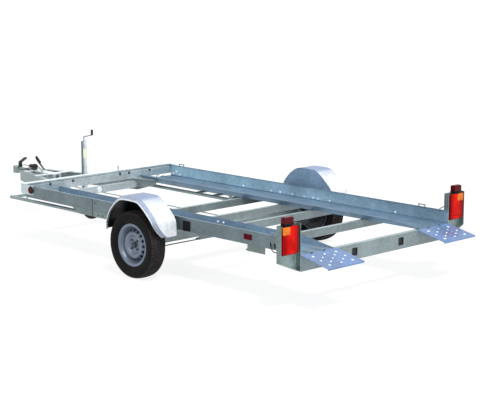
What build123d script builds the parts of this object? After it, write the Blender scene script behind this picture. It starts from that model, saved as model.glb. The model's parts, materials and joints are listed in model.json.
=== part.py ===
"""Single-axle car hauler trailer with two wheel tracks, a V drawbar and a jockey wheel.

Millimetres, +X towards the coupling, +Y to the left side, +Z up, floor at zero.
Lengths along X are measured from the axle line. At the end every piece moves by
axle_x, so that the origin lies on the floor below the middle of the whole trailer.
"""
import math
import os

from build123d import *

# Whole trailer
coupling_reach = 3350.0        # axle line to the tip of the coupling
tracks_rear = 1714.0           # axle line back to the rear end of the wheel tracks
tracks_front = 1875.0          # axle line to the front end of the wheel tracks
tread_z = 432.0                # height of the driving surface
track_half_width = 905.0       # centre line to the outer face of a wheel track
cut_over = 20.0                # how far a cutting tool runs past a face
seat_gap = 0.3                 # running clearance of a fit between two bodies
edge_round = 2.0               # small rounded edge

# Wheel tracks, bent from one sheet each
track_sheet = 3.0
track_width = 410.0
outer_flange_height = 110.0
inner_flange_height = 48.0
inner_flange_lean = 34.0
outer_lip_width = 14.0
inner_lip_width = 16.0
inner_lip_drop = 6.0
inner_flange_taper = 330.0     # length over which the inner flange runs out at the rear
tread_rib_width = 26.0
tread_rib_height = 7.0
tread_rib_shares = (0.30, 0.68)
lip_dimple_rows = 6             # dimple pitch: the track width over this
side_pad_length = 80.0         # black pad on the outer flange behind the fender
side_pad_height = 84.0
side_pad_depth = 10.0
side_pad_rear = 446.0

# Front crossbar
crossbar_depth = 70.0
crossbar_bottom = 455.0
crossbar_top = 552.0
crossbar_sheet = 3.0
crossbar_lip = 12.0
crossbar_return = 22.0
crossbar_groove = 8.0
end_plate_length = 190.0
end_plate_sheet = 3.0

# Cross members under the tracks
member_height = 66.0
member_flange = 40.0
member_sheet = 4.0
member_lip = 12.0
member_inset = 50.0
first_member_place = 400.0
second_member_place = -100.0
third_member_place = -500.0
fourth_member_place = -1100.0
front_member_place = 1850.0    # short member between the drawbar legs
member_foot_length = 200.0
member_foot_sheet = 4.0

# Rear crossbar and the lamp carriers at its ends
rear_bar_bottom = 302.0
rear_bar_sheet = 4.0
rear_bar_flange = 46.0
rear_window_width = 66.0
rear_window_height = 66.0
rear_window_place = 285.0
carrier_width = 215.0           # outer face of the track to the carrier's outer edge
carrier_top = 684.0
carrier_low_outer = 392.0
carrier_sheet = 3.0
carrier_set = 46.0             # depth of the carriers, which are open to the rear

# Ramp lips at the rear end of the tracks
lip_length = 290.0
lip_drop = 62.0
lip_sheet = 5.0
lip_edge = 14.0
lip_dimple_r = 13.0
lip_dimple_height = 3.0

# V drawbar
leg_height = 108.0
leg_flange = 46.0
leg_sheet = 4.0
leg_front_x = 3130.0
leg_front_y = 88.0
leg_rear_x = 1640.0
leg_overlap = 13.0             # how far the leg's rear end reaches under the track
leg_end_cut = 190.0
leg_end_slope_share = 0.25      # drop of the cut at the end, of its length
nose_plate_length = 220.0
nose_plate_sheet = 6.0

# Overrun coupling
housing_rear = 2600.0
housing_front = 3010.0
housing_width = 96.0
housing_height = 66.0
housing_wall = 8.0
draw_tube_r = 25.0
draw_tube_bore_r = 17.0
bellows_r = 36.0
bellows_root_r = 29.0
bellows_folds = 5
head_length = 262.0
head_height = 74.0
head_nose_r = 43.0
nose_round_share = 0.33
head_neck_r = 33.0
ball_r = 25.0
ball_depth = 40.0
handle_x = 3240.0
handle_stalk = 44.0
handle_rise = 52.0
handle_reach = 92.0
handle_thick = 18.0
handle_width = 36.0
lever_length = 200.0
lever_rake = 52.0
lever_width = 30.0
lever_thick = 9.0
lever_grip_length = 86.0
lever_grip_r = 13.0
lever_pivot_x = 2878.0
clamp_width = 60.0
plug_r = 22.0
plug_length = 76.0
plug_holder_r = 30.0
plug_holder_length = 34.0
plug_x = 2990.0
plug_y = 14.0

# Axle
wheel_r = 287.5
wheel_offset = 258.0           # outer face of the track to the outer rim flange
beam_size = 76.0
beam_x = 96.0
beam_z = 275.0
beam_wall = 5.0
beam_end_inset = 45.0          # end of the beam to the outer face of the track
arm_width = 28.0
arm_end_r = 42.0
stub_r = 20.0
backplate_r = 112.0
backplate_thick = 6.0
axle_bracket_length = 300.0
axle_bracket_sheet = 6.0
axle_bracket_flange = 50.0
brake_rod_r = 5.0
brake_rod_drop = 16.0
brake_yoke_width = 60.0
brake_cable_r = 5.0
brake_cable_x = 42.0
brake_cable_z = 218.0
apron_front = 1160.0
apron_slope = 110.0
apron_depth = 49.0
apron_sheet = 3.0

# Wheels
tyre_width = 155.0
tyre_wall = 10.0
tread_thick = 18.0
tyre_shoulder = 26.0
shoulder_slope_share = 0.8
rim_flange_r = 182.5
rim_bead_r = 165.0
rim_well_r = 140.0
rim_wall = 5.0
rim_width = 122.0
well_place_share = 0.4
disc_inset = 30.0
disc_sheet = 6.0
disc_dish = 16.0
disc_hole_count = 16
disc_hole_r = 11.0
disc_hole_circle_r = 122.0
hub_r = 40.0
hub_cap_r = 27.0
hub_cap_length = 22.0
drum_r = 102.0
drum_depth = 52.0
drum_gap = 5.0
stud_count = 4
stud_circle_r = 50.0
stud_r = 9.0
stud_length = 16.0

lever_arm_share = 0.67
lever_link_share = 0.33
plug_neck_share = 0.67
reflector_place_share = 0.33

# Fenders
fender_top = 703.0
fender_low = 388.0
fender_gap = 50.0              # from the track to the fender's inner wall
fender_width = 237.0
fender_sheet = 3.0
fender_bead = 13.0             # rolled outer edge, both ways
fender_mount_height = 60.0
fender_shoulder_width = 34.0
fender_shoulder_drop = 24.0
fender_stay_places = (-230.0, 230.0)
fender_stay_width = 50.0
fender_stay_sheet = 5.0
# corners of the crown from the rear end over the top to the front, with x from the axle
fender_profile = (
    {"x": -332.0, "z": fender_low},
    {"x": -332.0, "z": 528.0},
    {"x": -188.0, "z": 655.0},
    {"x": -108.0, "z": fender_top},
    {"x": 118.0, "z": fender_top},
    {"x": 212.0, "z": 645.0},
    {"x": 290.0, "z": 562.0},
    {"x": 334.0, "z": 460.0},
    {"x": 334.0, "z": fender_low},
)

# Lamps
lamp_width = 184.0
lamp_height = 228.0
lamp_depth = 50.0
lamp_bottom = 450.0
lamp_inset = 19.0              # outer face of the track to the lamp
lamp_round = 14.0
lamp_bevel = 6.0
marker_width = 92.0
marker_height = 62.0
marker_depth = 52.0
marker_base = 12.0
marker_inset = 125.0           # outer face of the track to the middle of the marker lamp
reflector_length = 84.0
reflector_height = 42.0
reflector_depth = 7.0
reflector_x = -1135.0
front_marker_r = 30.0
front_marker_depth = 14.0

# Loading ramps, frames of round tube stored flat under the tracks
ramp_front = 2270.0
ramp_length = 1820.0
ramp_outer = 816.0
ramp_width = 233.0
ramp_tube_r = 16.5
ramp_z = 366.0
ramp_rung_r = 12.0
ramp_rung_shares = (0.6, 0.73, 0.86)   # places of the rungs, from the front end
hanger_sheet = 4.0
hanger_width = 40.0
hanger_place = 620.0
hook_rod_r = 5.0
hook_foot_x = 2030.0           # where the front hooks meet the ramp

# Jockey wheel
mast_x = 2405.0
mast_top = 800.0
mast_bottom = 300.0
mast_r = 30.0
mast_inner_r = 24.0
mast_cap = 10.0
inner_top = 585.0
inner_bore_r = 20.0
fork_trail = 70.0
fork_turn = 206.0              # degrees from +X to the way the wheel trails
fork_sheet = 6.0
fork_gap = 66.0
fork_crown_z = 236.0
jockey_r = 100.0
jockey_width = 56.0
jockey_shoulder = 14.0
jockey_rim_r = 66.0
jockey_hub_r = 17.0
jockey_pin_r = 7.0
crank_rise = 44.0
crank_reach = 92.0
crank_rod_r = 6.0
crank_grip_r = 12.0
crank_grip_length = 54.0
crank_turn = 206.0
clamp_wall = 8.0
clamp_plate = 6.0
clamp_plate_length = 96.0

# Tie-down loops
loop_rod_r = 5.0
loop_height = 18.0
loop_length = 66.0
front_loop_place = 1700.0
rear_loop_place = -1430.0

# Derived places
rear_reach = tracks_rear + lip_length
axle_x = (rear_reach - coupling_reach) / 2
track_inner = track_half_width - track_width
carrier_half_width = track_half_width + carrier_width
wheel_plane = track_half_width + wheel_offset
beam_half = track_half_width - beam_end_inset
fender_outer = track_half_width + fender_gap + fender_width
lamp_inner = track_half_width + lamp_inset
leg_rear_y = track_inner + leg_overlap
member_places = (first_member_place, second_member_place, third_member_place, fourth_member_place)
loop_places = (front_loop_place, rear_loop_place)
outer_flange_top = tread_z + outer_flange_height
inner_flange_top = tread_z + inner_flange_height
tread_under = tread_z - track_sheet
member_top = tread_under
member_bottom = member_top - member_height
crossbar_front = tracks_front + crossbar_depth
tyre_outer = wheel_plane + (tyre_width - rim_width) / 2
tyre_inner = tyre_outer - tyre_width
tyre_mid = tyre_outer - tyre_width / 2
rim_inner = wheel_plane - rim_width
disc_y = wheel_plane - disc_inset
leg_slope = math.atan2(leg_rear_y - leg_front_y, leg_front_x - leg_rear_x)
leg_length = math.hypot(leg_front_x - leg_rear_x, leg_rear_y - leg_front_y)
leg_top = crossbar_bottom
leg_bottom = leg_top - leg_height
housing_top = leg_top + housing_wall
housing_bottom = housing_top - housing_height
housing_z = housing_bottom + housing_height / 2
head_rear = coupling_reach - head_length
plug_axis_z = housing_top + plug_holder_r + bellows_r - housing_height / 2
beam_top = beam_z + beam_size / 2
brake_rod_z = member_bottom - brake_rod_drop
beam_bottom = beam_z - beam_size / 2
ramp_inner = ramp_outer - ramp_width
ramp_rear = ramp_front - ramp_length
ramp_bottom = ramp_z - ramp_tube_r
ramp_rail_places = (ramp_inner + ramp_tube_r, ramp_outer - ramp_tube_r)


def leg_web_y(x):
    """Distance of a drawbar leg's outer face from the centre line at x."""
    return leg_rear_y - (x - leg_rear_x) * math.tan(leg_slope)


mast_y = (leg_flange + clamp_plate + mast_r + clamp_wall) / math.cos(leg_slope) - leg_web_y(mast_x)


def box_between(x0, x1, y0, y1, z0, z1):
    """A block between two corners."""
    size = (abs(x1 - x0), abs(y1 - y0), abs(z1 - z0))
    middle = ((x0 + x1) / 2, (y0 + y1) / 2, (z0 + z1) / 2)
    return Pos(*middle) * Box(*size)


def rod(start, end, radius):
    """A round bar between two points."""
    a, b = Vector(*start), Vector(*end)
    axis = b - a
    plane = Plane(origin=a, z_dir=axis)
    return extrude(plane * Circle(radius), axis.length)


def strip_outline(points, sheet):
    """Corner points of a bent sheet whose left side follows the given open line."""
    count = len(points)
    inner = []
    for i in range(count):
        before = points[max(i - 1, 0)]
        here = points[i]
        after = points[min(i + 1, count - 1)]
        first = normal_of(before, here) if i > 0 else normal_of(here, after)
        second = normal_of(here, after) if i < count - 1 else first
        middle = (first[0] + second[0], first[1] + second[1])
        scale = sheet * 2 / (middle[0] ** 2 + middle[1] ** 2)
        inner.append((here[0] + middle[0] * scale, here[1] + middle[1] * scale))
    return list(points) + inner[::-1]


def normal_of(a, b):
    """Unit normal to the right of the way from a to b."""
    dx, dy = b[0] - a[0], b[1] - a[1]
    length = math.hypot(dx, dy)
    return dy / length, -dx / length


def sheet_along(points, sheet, plane, length):
    """A bent sheet: the outline lies in the plane and runs along the plane's normal."""
    outline = strip_outline(points, sheet)
    face = make_face(Polyline(*outline, close=True))
    return extrude(plane * face, length)


def section_plane(x):
    """Plane across the trailer at x, with its own x along +Y and its own y along +Z."""
    return Plane(origin=(x, 0, 0), x_dir=(0, 1, 0), z_dir=(1, 0, 0))


def side_plane(y):
    """Plane along the trailer at y, with its own x along +X and its own y along +Z."""
    return Plane(origin=(0, y, 0), x_dir=(1, 0, 0), z_dir=(0, -1, 0))


def both_sides(shape):
    """The left shape and its mirror image on the right side."""
    return {"left": shape, "right": mirror(shape, Plane.XZ)}


def wheel_track():
    """Left track: outer flange, ribbed tread and a low leaning inner flange."""
    y_out, y_in = track_half_width, track_inner
    tread_start = y_in + inner_flange_lean
    line = [(y_out - outer_lip_width, outer_flange_top), (y_out, outer_flange_top), (y_out, tread_under)]
    for share in reversed(tread_rib_shares):
        middle = tread_start + share * (y_out - tread_start)
        half, top = tread_rib_width / 2, tread_under + tread_rib_height
        foot = half + tread_rib_height
        line += [(middle + foot, tread_under), (middle + half, top)]
        line += [(middle - half, top), (middle - foot, tread_under)]
    line += [(tread_start, tread_under), (y_in + inner_lip_width, inner_flange_top)]
    line += [(y_in, inner_flange_top - inner_lip_drop)]
    body = sheet_along(line, track_sheet, section_plane(-tracks_rear), tracks_rear + tracks_front)
    wedge = Polyline(
        (-tracks_rear - cut_over, tread_z + track_sheet),
        (-tracks_rear, tread_z + track_sheet),
        (-tracks_rear + inner_flange_taper, inner_flange_top),
        (-tracks_rear + inner_flange_taper, inner_flange_top + cut_over),
        (-tracks_rear - cut_over, inner_flange_top + cut_over),
        close=True,
    )
    depth = tread_start + cut_over
    body -= extrude(side_plane(depth) * make_face(wedge), depth - y_in + cut_over)
    return body


def side_pad():
    """Left black pad on the outer flange, behind the fender."""
    return box_between(
        -side_pad_rear, -side_pad_rear + side_pad_length, track_half_width, track_half_width + side_pad_depth,
        tread_z, tread_z + side_pad_height,
    )


def front_crossbar():
    """Closed-faced channel across the front, with a lip and a groove under its top."""
    x0, x1 = tracks_front, crossbar_front
    z0, z1 = crossbar_bottom, crossbar_top
    line = [
        (x1 - crossbar_lip, z0), (x1, z0), (x1, z1), (x0, z1), (x0, z1 - crossbar_lip),
        (x0 + crossbar_groove, z1 - crossbar_lip - crossbar_groove), (x0, z1 - crossbar_lip - 2 * crossbar_groove),
        (x0, z0), (x0 + crossbar_return, z0),
    ]
    return sheet_along(line, -crossbar_sheet, side_plane(track_half_width), 2 * track_half_width)


def crossbar_end_plate():
    """Left end plate that ties the crossbar to the track's outer flange."""
    x1 = crossbar_front
    x0 = x1 - end_plate_length
    y0 = track_half_width
    outline = Polyline(
        (x0, crossbar_bottom + end_plate_sheet), (x1 - crossbar_lip, crossbar_bottom),
        (x1, crossbar_bottom + crossbar_lip), (x1, crossbar_top), (x0, outer_flange_top), close=True,
    )
    return extrude(side_plane(y0 + end_plate_sheet) * make_face(outline), end_plate_sheet)


def cross_member(x, half):
    """Lipped channel across the trailer, its closed web to the rear."""
    line = [
        (x + member_flange, member_top - member_lip), (x + member_flange, member_top), (x, member_top),
        (x, member_bottom), (x + member_flange, member_bottom), (x + member_flange, member_bottom + member_lip),
    ]
    return sheet_along(line[::-1], member_sheet, side_plane(half), 2 * half)


def member_foot():
    """Left foot plate on the end of the rearmost cross member."""
    x1 = member_places[-1] + member_flange / 2
    y0 = track_half_width - member_inset
    return box_between(
        x1 - member_foot_length, x1, y0, y0 + member_foot_sheet, member_bottom - edge_round, member_top,
    )


def front_member():
    """Short member between the drawbar legs, its ends cut along their webs."""
    x = front_member_place
    body = cross_member(x, leg_web_y(x))
    outside = leg_place() * box_between(
        0, leg_length, -leg_sheet, leg_web_y(x), member_bottom - cut_over, member_top + cut_over,
    )
    return body - outside - mirror(outside, Plane.XZ)


def rear_crossbar():
    """Deep channel across the rear with two windows."""
    x0 = -tracks_rear
    line = [
        (x0 + rear_bar_flange, tread_under), (x0, tread_under),
        (x0, rear_bar_bottom), (x0 + rear_bar_flange, rear_bar_bottom),
    ]
    half = track_half_width
    bar = sheet_along(line[::-1], rear_bar_sheet, side_plane(half), 2 * half)
    middle_z = (rear_bar_bottom + tread_under) / 2
    for side in (-1, 1):
        y = side * rear_window_place
        bar -= box_between(
            x0 - cut_over, x0 + cut_over, y - rear_window_width / 2, y + rear_window_width / 2,
            middle_z - rear_window_height / 2, middle_z + rear_window_height / 2,
        )
    return bar


def lamp_carrier():
    """Left lamp carrier: an upright tray open to the rear, its foot cut on a slant."""
    x0, x1 = -tracks_rear, -tracks_rear + carrier_set
    y0, y1 = track_half_width, carrier_half_width
    line = [(y0, carrier_top), (y0, rear_bar_bottom), (y1, carrier_low_outer), (y1, carrier_top)]
    rim = sheet_along(line[::-1], carrier_sheet, section_plane(x0), x1 - x0)
    plate = extrude(section_plane(x1) * make_face(Polyline(*line, close=True)), carrier_sheet)
    return rim + plate


def ramp_lip():
    """Left sloping lip behind the track, dimpled for grip."""
    x0 = -tracks_rear
    x1 = -rear_reach
    z_end = tread_z - lip_drop
    line = [(x1 + lip_sheet, z_end - lip_edge), (x1, z_end), (x0, tread_z)]
    plate = sheet_along(line, lip_sheet, side_plane(track_half_width), track_width)
    plate -= box_between(
        x0, x0 + cut_over, track_inner - cut_over, track_half_width + cut_over, tread_z - cut_over, tread_z + cut_over,
    )
    slope = math.atan2(lip_drop, lip_length)
    middle_y = (track_half_width + track_inner) / 2
    rows = ((0.2, 1), (0.35, 3), (0.5, 5), (0.65, 3), (0.8, 1))
    for along_share, count in rows:
        x = x0 - along_share * lip_length
        z = tread_z - along_share * lip_drop
        for i in range(count):
            y = middle_y + (i - (count - 1) / 2) * (track_width / lip_dimple_rows)
            dimple = Location((x, y, z), (0, -math.degrees(slope), 0))
            plate += dimple * Cone(lip_dimple_r, lip_dimple_r / 2, lip_dimple_height * 2)
    return plate


def leg_place():
    """Place of the left drawbar leg, whose own x runs forward along its outer face."""
    return Location((leg_rear_x, leg_rear_y, 0), (0, 0, -math.degrees(leg_slope)))


def drawbar_leg():
    """Left leg of the V drawbar: a channel open to the inside, tapered at its rear end."""
    top, low, wide = leg_top, leg_bottom, leg_flange
    line = [(-wide, top), (0, top), (0, low), (-wide, low)]
    bar = sheet_along(line, leg_sheet, section_plane(0), leg_length)
    end_z = leg_top - leg_end_cut * leg_end_slope_share
    cutter = Polyline(
        (-cut_over, leg_bottom - cut_over), (leg_end_cut, leg_bottom - cut_over),
        (leg_end_cut, leg_bottom), (0, end_z), (-cut_over, end_z),
        close=True,
    )
    bar -= extrude(side_plane(cut_over) * make_face(cutter), leg_flange + 2 * cut_over)
    return leg_place() * bar


def nose_plate():
    """Plate under the front ends of the legs, which ties them together."""
    x1 = leg_front_x
    x0 = x1 - nose_plate_length
    spread = nose_plate_length * math.tan(leg_slope)
    outline = Polyline(
        (x0, -leg_front_y - spread), (x1, -leg_front_y), (x1, leg_front_y), (x0, leg_front_y + spread), close=True,
    )
    return extrude(Plane.XY.offset(leg_bottom - nose_plate_sheet) * make_face(outline), nose_plate_sheet)


def overrun_housing():
    """Cast housing that guides the draw tube, with two bolted saddles."""
    body = box_between(
        housing_rear, housing_front, -housing_width / 2, housing_width / 2,
        housing_bottom, housing_bottom + housing_height,
    )
    body = fillet(body.edges().filter_by(Axis.X), housing_wall)
    for x in (housing_rear + clamp_width, housing_front - clamp_width):
        reach = leg_web_y(x)
        saddle = box_between(
            x - clamp_width / 2, x + clamp_width / 2, -reach, reach,
            leg_top, housing_top,
        )
        body += saddle
    bore = rod((housing_rear - cut_over, 0, housing_z), (housing_front + cut_over, 0, housing_z), draw_tube_r)
    return body - bore


def draw_tube():
    """Tube that slides in the housing and carries the coupling head."""
    start = (housing_rear + clamp_width, 0, housing_z)
    end = (head_rear + head_neck_r, 0, housing_z)
    return rod(start, end, draw_tube_r) - rod(start, end, draw_tube_bore_r)


def bellows():
    """Folded rubber boot on the draw tube."""
    x0 = housing_front
    x1 = head_rear
    pitch = (x1 - x0) / bellows_folds
    outline = [(draw_tube_r, x0)]
    for i in range(bellows_folds):
        outline += [(bellows_root_r, x0 + i * pitch), (bellows_r, x0 + (i + 0.5) * pitch)]
    outline += [(bellows_root_r, x1), (draw_tube_r, x1)]
    face = make_face(Polyline(*outline, close=True))
    turned = revolve(Plane(origin=(0, 0, 0), x_dir=(1, 0, 0), z_dir=(0, 0, 1)) * face, Axis.Y)
    return Location((0, 0, housing_z)) * (Rotation(0, 0, -90) * turned)


def coupling_head():
    """Pressed coupling head with its ball socket open below."""
    x1 = coupling_reach
    x0 = head_rear
    ball_x = x1 - head_nose_r
    low = housing_z - head_neck_r
    neck = rod((x0, 0, housing_z), (ball_x, 0, housing_z), head_neck_r)
    nose = Pos(ball_x, 0, low + head_height / 2) * Cylinder(head_nose_r, head_height)
    nose = fillet(nose.edges().sort_by(Axis.Z)[-1], head_neck_r * nose_round_share)
    body = neck + nose
    body -= Pos(ball_x, 0, low + ball_depth / 2 - cut_over / 2) * Cylinder(ball_r + seat_gap, ball_depth + cut_over)
    body -= rod((x0 - cut_over, 0, housing_z), (x0 + head_neck_r, 0, housing_z), draw_tube_r)
    return body


def coupling_handle():
    """Handle on the coupling head, raised and bent forward."""
    z0 = housing_z
    z1 = housing_z + head_neck_r + handle_stalk
    line = [(handle_x, z0), (handle_x, z1), (handle_x - handle_reach, z1 + handle_rise)]
    arm = sheet_along(line, handle_thick, side_plane(handle_width / 2), handle_width)
    neck = rod((head_rear, 0, housing_z), (coupling_reach, 0, housing_z), head_neck_r)
    return arm - neck


def hand_brake():
    """Hand brake lever on the housing's right side, with its grip and the arm down to the rod."""
    z0 = housing_top
    rake = math.radians(lever_rake)
    y0 = -housing_width / 2 - lever_thick
    x1 = lever_pivot_x + lever_length * math.sin(rake)
    z1 = z0 + lever_length * math.cos(rake)
    pivot_z = z0 - lever_width / 2
    foot = rod((lever_pivot_x, y0, pivot_z), (lever_pivot_x, y0 + lever_thick, pivot_z), lever_width / 2)
    way = (math.sin(rake), 0, math.cos(rake))
    arm_plane = Plane(origin=(lever_pivot_x, y0, pivot_z), x_dir=way, z_dir=(0, 1, 0))
    arm_outline = Pos(lever_length / 2, 0) * Rectangle(lever_length, lever_width * lever_arm_share)
    arm = extrude(arm_plane * arm_outline, lever_thick)
    share = 1 - lever_grip_length / lever_length
    grip_start = (lever_pivot_x + (x1 - lever_pivot_x) * share, y0 + lever_thick / 2, z0 + (z1 - z0) * share)
    grip = rod(grip_start, (x1, y0 + lever_thick / 2, z1), lever_grip_r)
    link = box_between(
        lever_pivot_x - lever_width * lever_link_share, lever_pivot_x + lever_width * lever_link_share, y0, y0 + lever_thick,
        brake_rod_z - brake_rod_r, z0 - lever_width / 2,
    )
    return foot + arm + grip + link


def plug_holder():
    """Parking socket for the lighting plug, on top of the housing."""
    x0 = plug_x - plug_holder_length
    z = plug_axis_z
    base = box_between(x0, plug_x, plug_y - plug_holder_r / 2, plug_y + plug_holder_r / 2, housing_top, z)
    return base + rod((x0, plug_y, z), (plug_x, plug_y, z), plug_holder_r)


def lighting_plug():
    """Black plug parked in front of its holder."""
    neck_x = plug_x + plug_length * plug_neck_share
    body = rod((plug_x, plug_y, plug_axis_z), (neck_x, plug_y, plug_axis_z), plug_r)
    tail = rod((neck_x, plug_y, plug_axis_z), (plug_x + plug_length, plug_y, plug_axis_z), plug_r / 2)
    return body + tail


def axle_beam():
    """Square torsion beam across the trailer."""
    outer = box_between(
        beam_x - beam_size / 2, beam_x + beam_size / 2, -beam_half, beam_half, beam_bottom, beam_top,
    )
    hollow = beam_size / 2 - beam_wall
    inner = box_between(
        beam_x - hollow, beam_x + hollow, -beam_half - cut_over, beam_half + cut_over, beam_z - hollow, beam_z + hollow,
    )
    return outer - inner


def swing_arm():
    """Left trailing arm from the beam's end to the stub axle."""
    y0 = beam_half
    y1 = beam_half + arm_width
    eye = rod((beam_x, y0, beam_z), (beam_x, y1, beam_z), arm_end_r)
    boss = rod((0, y0, wheel_r), (0, y1, wheel_r), arm_end_r)
    reach = math.hypot(beam_x, wheel_r - beam_z)
    tilt = math.atan2(wheel_r - beam_z, -beam_x)
    plane = Plane(origin=(beam_x, y0, beam_z), x_dir=(math.cos(tilt), 0, math.sin(tilt)), z_dir=(0, 1, 0))
    web = extrude(plane * Pos(reach / 2, 0) * Rectangle(reach, 2 * arm_end_r), arm_width)
    stub_end = disc_y - drum_depth / 2
    stub = rod((0, y1, wheel_r), (0, stub_end, wheel_r), stub_r)
    return eye + boss + web + stub


def backplate():
    """Left brake backplate, fixed on the arm, with its stub hole."""
    y0 = beam_half + arm_width
    plate = rod((0, y0, wheel_r), (0, y0 + backplate_thick, wheel_r), backplate_r)
    return plate - rod((0, y0 - cut_over, wheel_r), (0, y0 + backplate_thick + cut_over, wheel_r), stub_r)


def axle_bracket():
    """Left bracket between the track's underside and the axle beam."""
    y1 = track_half_width
    length = axle_bracket_length
    x_mid = beam_x
    half_seat = beam_size / 2
    outline = Polyline(
        (x_mid - length / 2, tread_under), (x_mid - length / 2, tread_under - axle_bracket_flange),
        (x_mid - half_seat, beam_top), (x_mid + half_seat, beam_top),
        (x_mid + length / 2, tread_under - axle_bracket_flange), (x_mid + length / 2, tread_under), close=True,
    )
    y0 = beam_half - axle_bracket_flange
    web = extrude(side_plane(y0 + axle_bracket_sheet) * make_face(outline), axle_bracket_sheet)
    top = box_between(
        x_mid - length / 2, x_mid + length / 2, y0, y0 + axle_bracket_flange, tread_under - axle_bracket_sheet, tread_under,
    )
    seat = box_between(
        x_mid - half_seat, x_mid + half_seat, y0, y0 + axle_bracket_flange, beam_top, beam_top + axle_bracket_sheet,
    )
    return web + top + seat


def side_apron():
    """Deeper left side plate under the track, in front of the wheel."""
    x0 = beam_x + axle_bracket_length / 2
    outline = Polyline(
        (x0, tread_under - apron_depth), (apron_front - apron_slope, tread_under - apron_depth),
        (apron_front, tread_under), (x0, tread_under), close=True,
    )
    return extrude(side_plane(track_half_width) * make_face(outline), apron_sheet)


def brake_rod():
    """Brake rod from the hand brake back to its yoke on the axle beam."""
    y = -housing_width / 2 - lever_thick / 2
    x0 = beam_x + beam_size / 2
    front = lever_pivot_x - lever_width * lever_link_share
    bar = rod((x0, y, brake_rod_z), (front, y, brake_rod_z), brake_rod_r)
    yoke = box_between(
        x0 - beam_size / 2, x0, y - brake_yoke_width / 2, y + brake_yoke_width / 2, beam_top, brake_rod_z + 2 * brake_rod_r,
    )
    return bar + yoke


def brake_cables():
    """Taut brake cables behind the axle beam, from one backplate to the other."""
    half = beam_half + arm_width
    return rod((brake_cable_x, -half, brake_cable_z), (brake_cable_x, half, brake_cable_z), brake_cable_r)


def hub_drum():
    """Left hub with its brake drum, studs and cap."""
    y_back = beam_half + arm_width + backplate_thick + drum_gap
    y_face = disc_y - disc_sheet
    drum = rod((0, y_back, wheel_r), (0, y_back + drum_depth, wheel_r), drum_r)
    hub = rod((0, y_back, wheel_r), (0, y_face, wheel_r), hub_r)
    cap = rod((0, y_face, wheel_r), (0, y_face + hub_cap_length, wheel_r), hub_cap_r)
    bore = rod((0, y_back - cut_over, wheel_r), (0, disc_y - drum_depth / 2 + seat_gap, wheel_r), stub_r + seat_gap)
    face = rod((0, y_face - hub_r / 2, wheel_r), (0, y_face, wheel_r), stud_circle_r + 2 * stud_r)
    studs = [
        rod((0, y_face, 0), (0, y_face + stud_length, 0), stud_r).moved(
            Location((stud_circle_r * math.cos(angle), 0, wheel_r + stud_circle_r * math.sin(angle)))
        )
        for angle in (math.radians(45 + i * 360 / stud_count) for i in range(stud_count))
    ]
    body = drum + hub + face + cap
    for stud in studs:
        body += stud
    return body - bore


def wheel_rim():
    """Left steel rim with its dished disc, revolved, and a ring of round holes."""
    y_out, y_in = wheel_plane, rim_inner
    lip = rim_wall
    well_out = y_out - rim_width * well_place_share
    well_in = y_in + rim_width * well_place_share
    profile = [
        (rim_flange_r - lip, y_out), (rim_flange_r, y_out), (rim_flange_r, y_out - lip), (rim_bead_r, y_out - 2 * lip),
        (rim_well_r, well_out), (rim_well_r, well_in), (rim_bead_r, y_in + 2 * lip), (rim_flange_r, y_in + lip),
        (rim_flange_r, y_in), (rim_flange_r - lip, y_in), (rim_bead_r - lip, y_in + lip),
        (rim_well_r - lip, well_in), (rim_well_r - lip, well_out), (rim_bead_r - lip, y_out - lip),
    ]
    ring = spun(profile)
    hole = hub_cap_r + seat_gap
    step_r = stud_circle_r + 2 * stud_r
    slope_r = disc_hole_circle_r - disc_hole_r - edge_round
    disc = spun([
        (hole, disc_y - disc_sheet), (hole, disc_y),
        (step_r, disc_y), (step_r + disc_dish, disc_y + disc_dish),
        (slope_r, disc_y + disc_dish), (rim_well_r - lip, disc_y - disc_dish),
        (rim_well_r - lip, disc_y - disc_dish - disc_sheet), (slope_r, disc_y + disc_dish - disc_sheet),
        (step_r + disc_dish, disc_y + disc_dish - disc_sheet), (step_r, disc_y - disc_sheet),
    ])
    for i in range(disc_hole_count):
        angle = math.radians(i * 360 / disc_hole_count)
        x = disc_hole_circle_r * math.cos(angle)
        z = wheel_r + disc_hole_circle_r * math.sin(angle)
        disc -= rod((x, disc_y - drum_depth, z), (x, disc_y + drum_depth, z), disc_hole_r)
    for i in range(stud_count):
        angle = math.radians(45 + i * 360 / stud_count)
        x = stud_circle_r * math.cos(angle)
        z = wheel_r + stud_circle_r * math.sin(angle)
        disc -= rod((x, disc_y - drum_depth, z), (x, disc_y + drum_depth, z), stud_r + seat_gap)
    return ring + disc


def spun(profile):
    """A ring about the wheel axis from corner points of radius and place along Y."""
    face = make_face(Polyline(*profile, close=True))
    return Location((0, 0, wheel_r)) * revolve(face, Axis.Y)


def tyre():
    """Left tyre: hollow, with chamfered shoulders and beads that sit between the rim's flanges."""
    y_out, y_in = tyre_outer, tyre_inner
    bead = rim_bead_r + seat_gap
    over_flange = rim_flange_r + seat_gap
    bulge_r = rim_flange_r + tyre_shoulder
    edge_y = tyre_shoulder * shoulder_slope_share
    seat_out = wheel_plane - 2 * rim_wall - seat_gap
    seat_in = rim_inner + 2 * rim_wall + seat_gap
    ceiling_r = wheel_r - tread_thick
    return spun([
        (over_flange, wheel_plane - rim_wall), (bulge_r, y_out), (wheel_r - tyre_shoulder, y_out),
        (wheel_r, y_out - edge_y), (wheel_r, y_in + edge_y), (wheel_r - tyre_shoulder, y_in), (bulge_r, y_in),
        (over_flange, rim_inner + rim_wall), (bead, seat_in), (bead, seat_in + tyre_wall),
        (ceiling_r, y_in + 2 * tyre_wall), (ceiling_r, y_out - 2 * tyre_wall), (bead, seat_out - tyre_wall), (bead, seat_out),
    ])


def inset(points, distance):
    """The open line moved sideways to its right, with mitred corners."""
    return strip_outline(points, distance)[len(points):][::-1]


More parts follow.
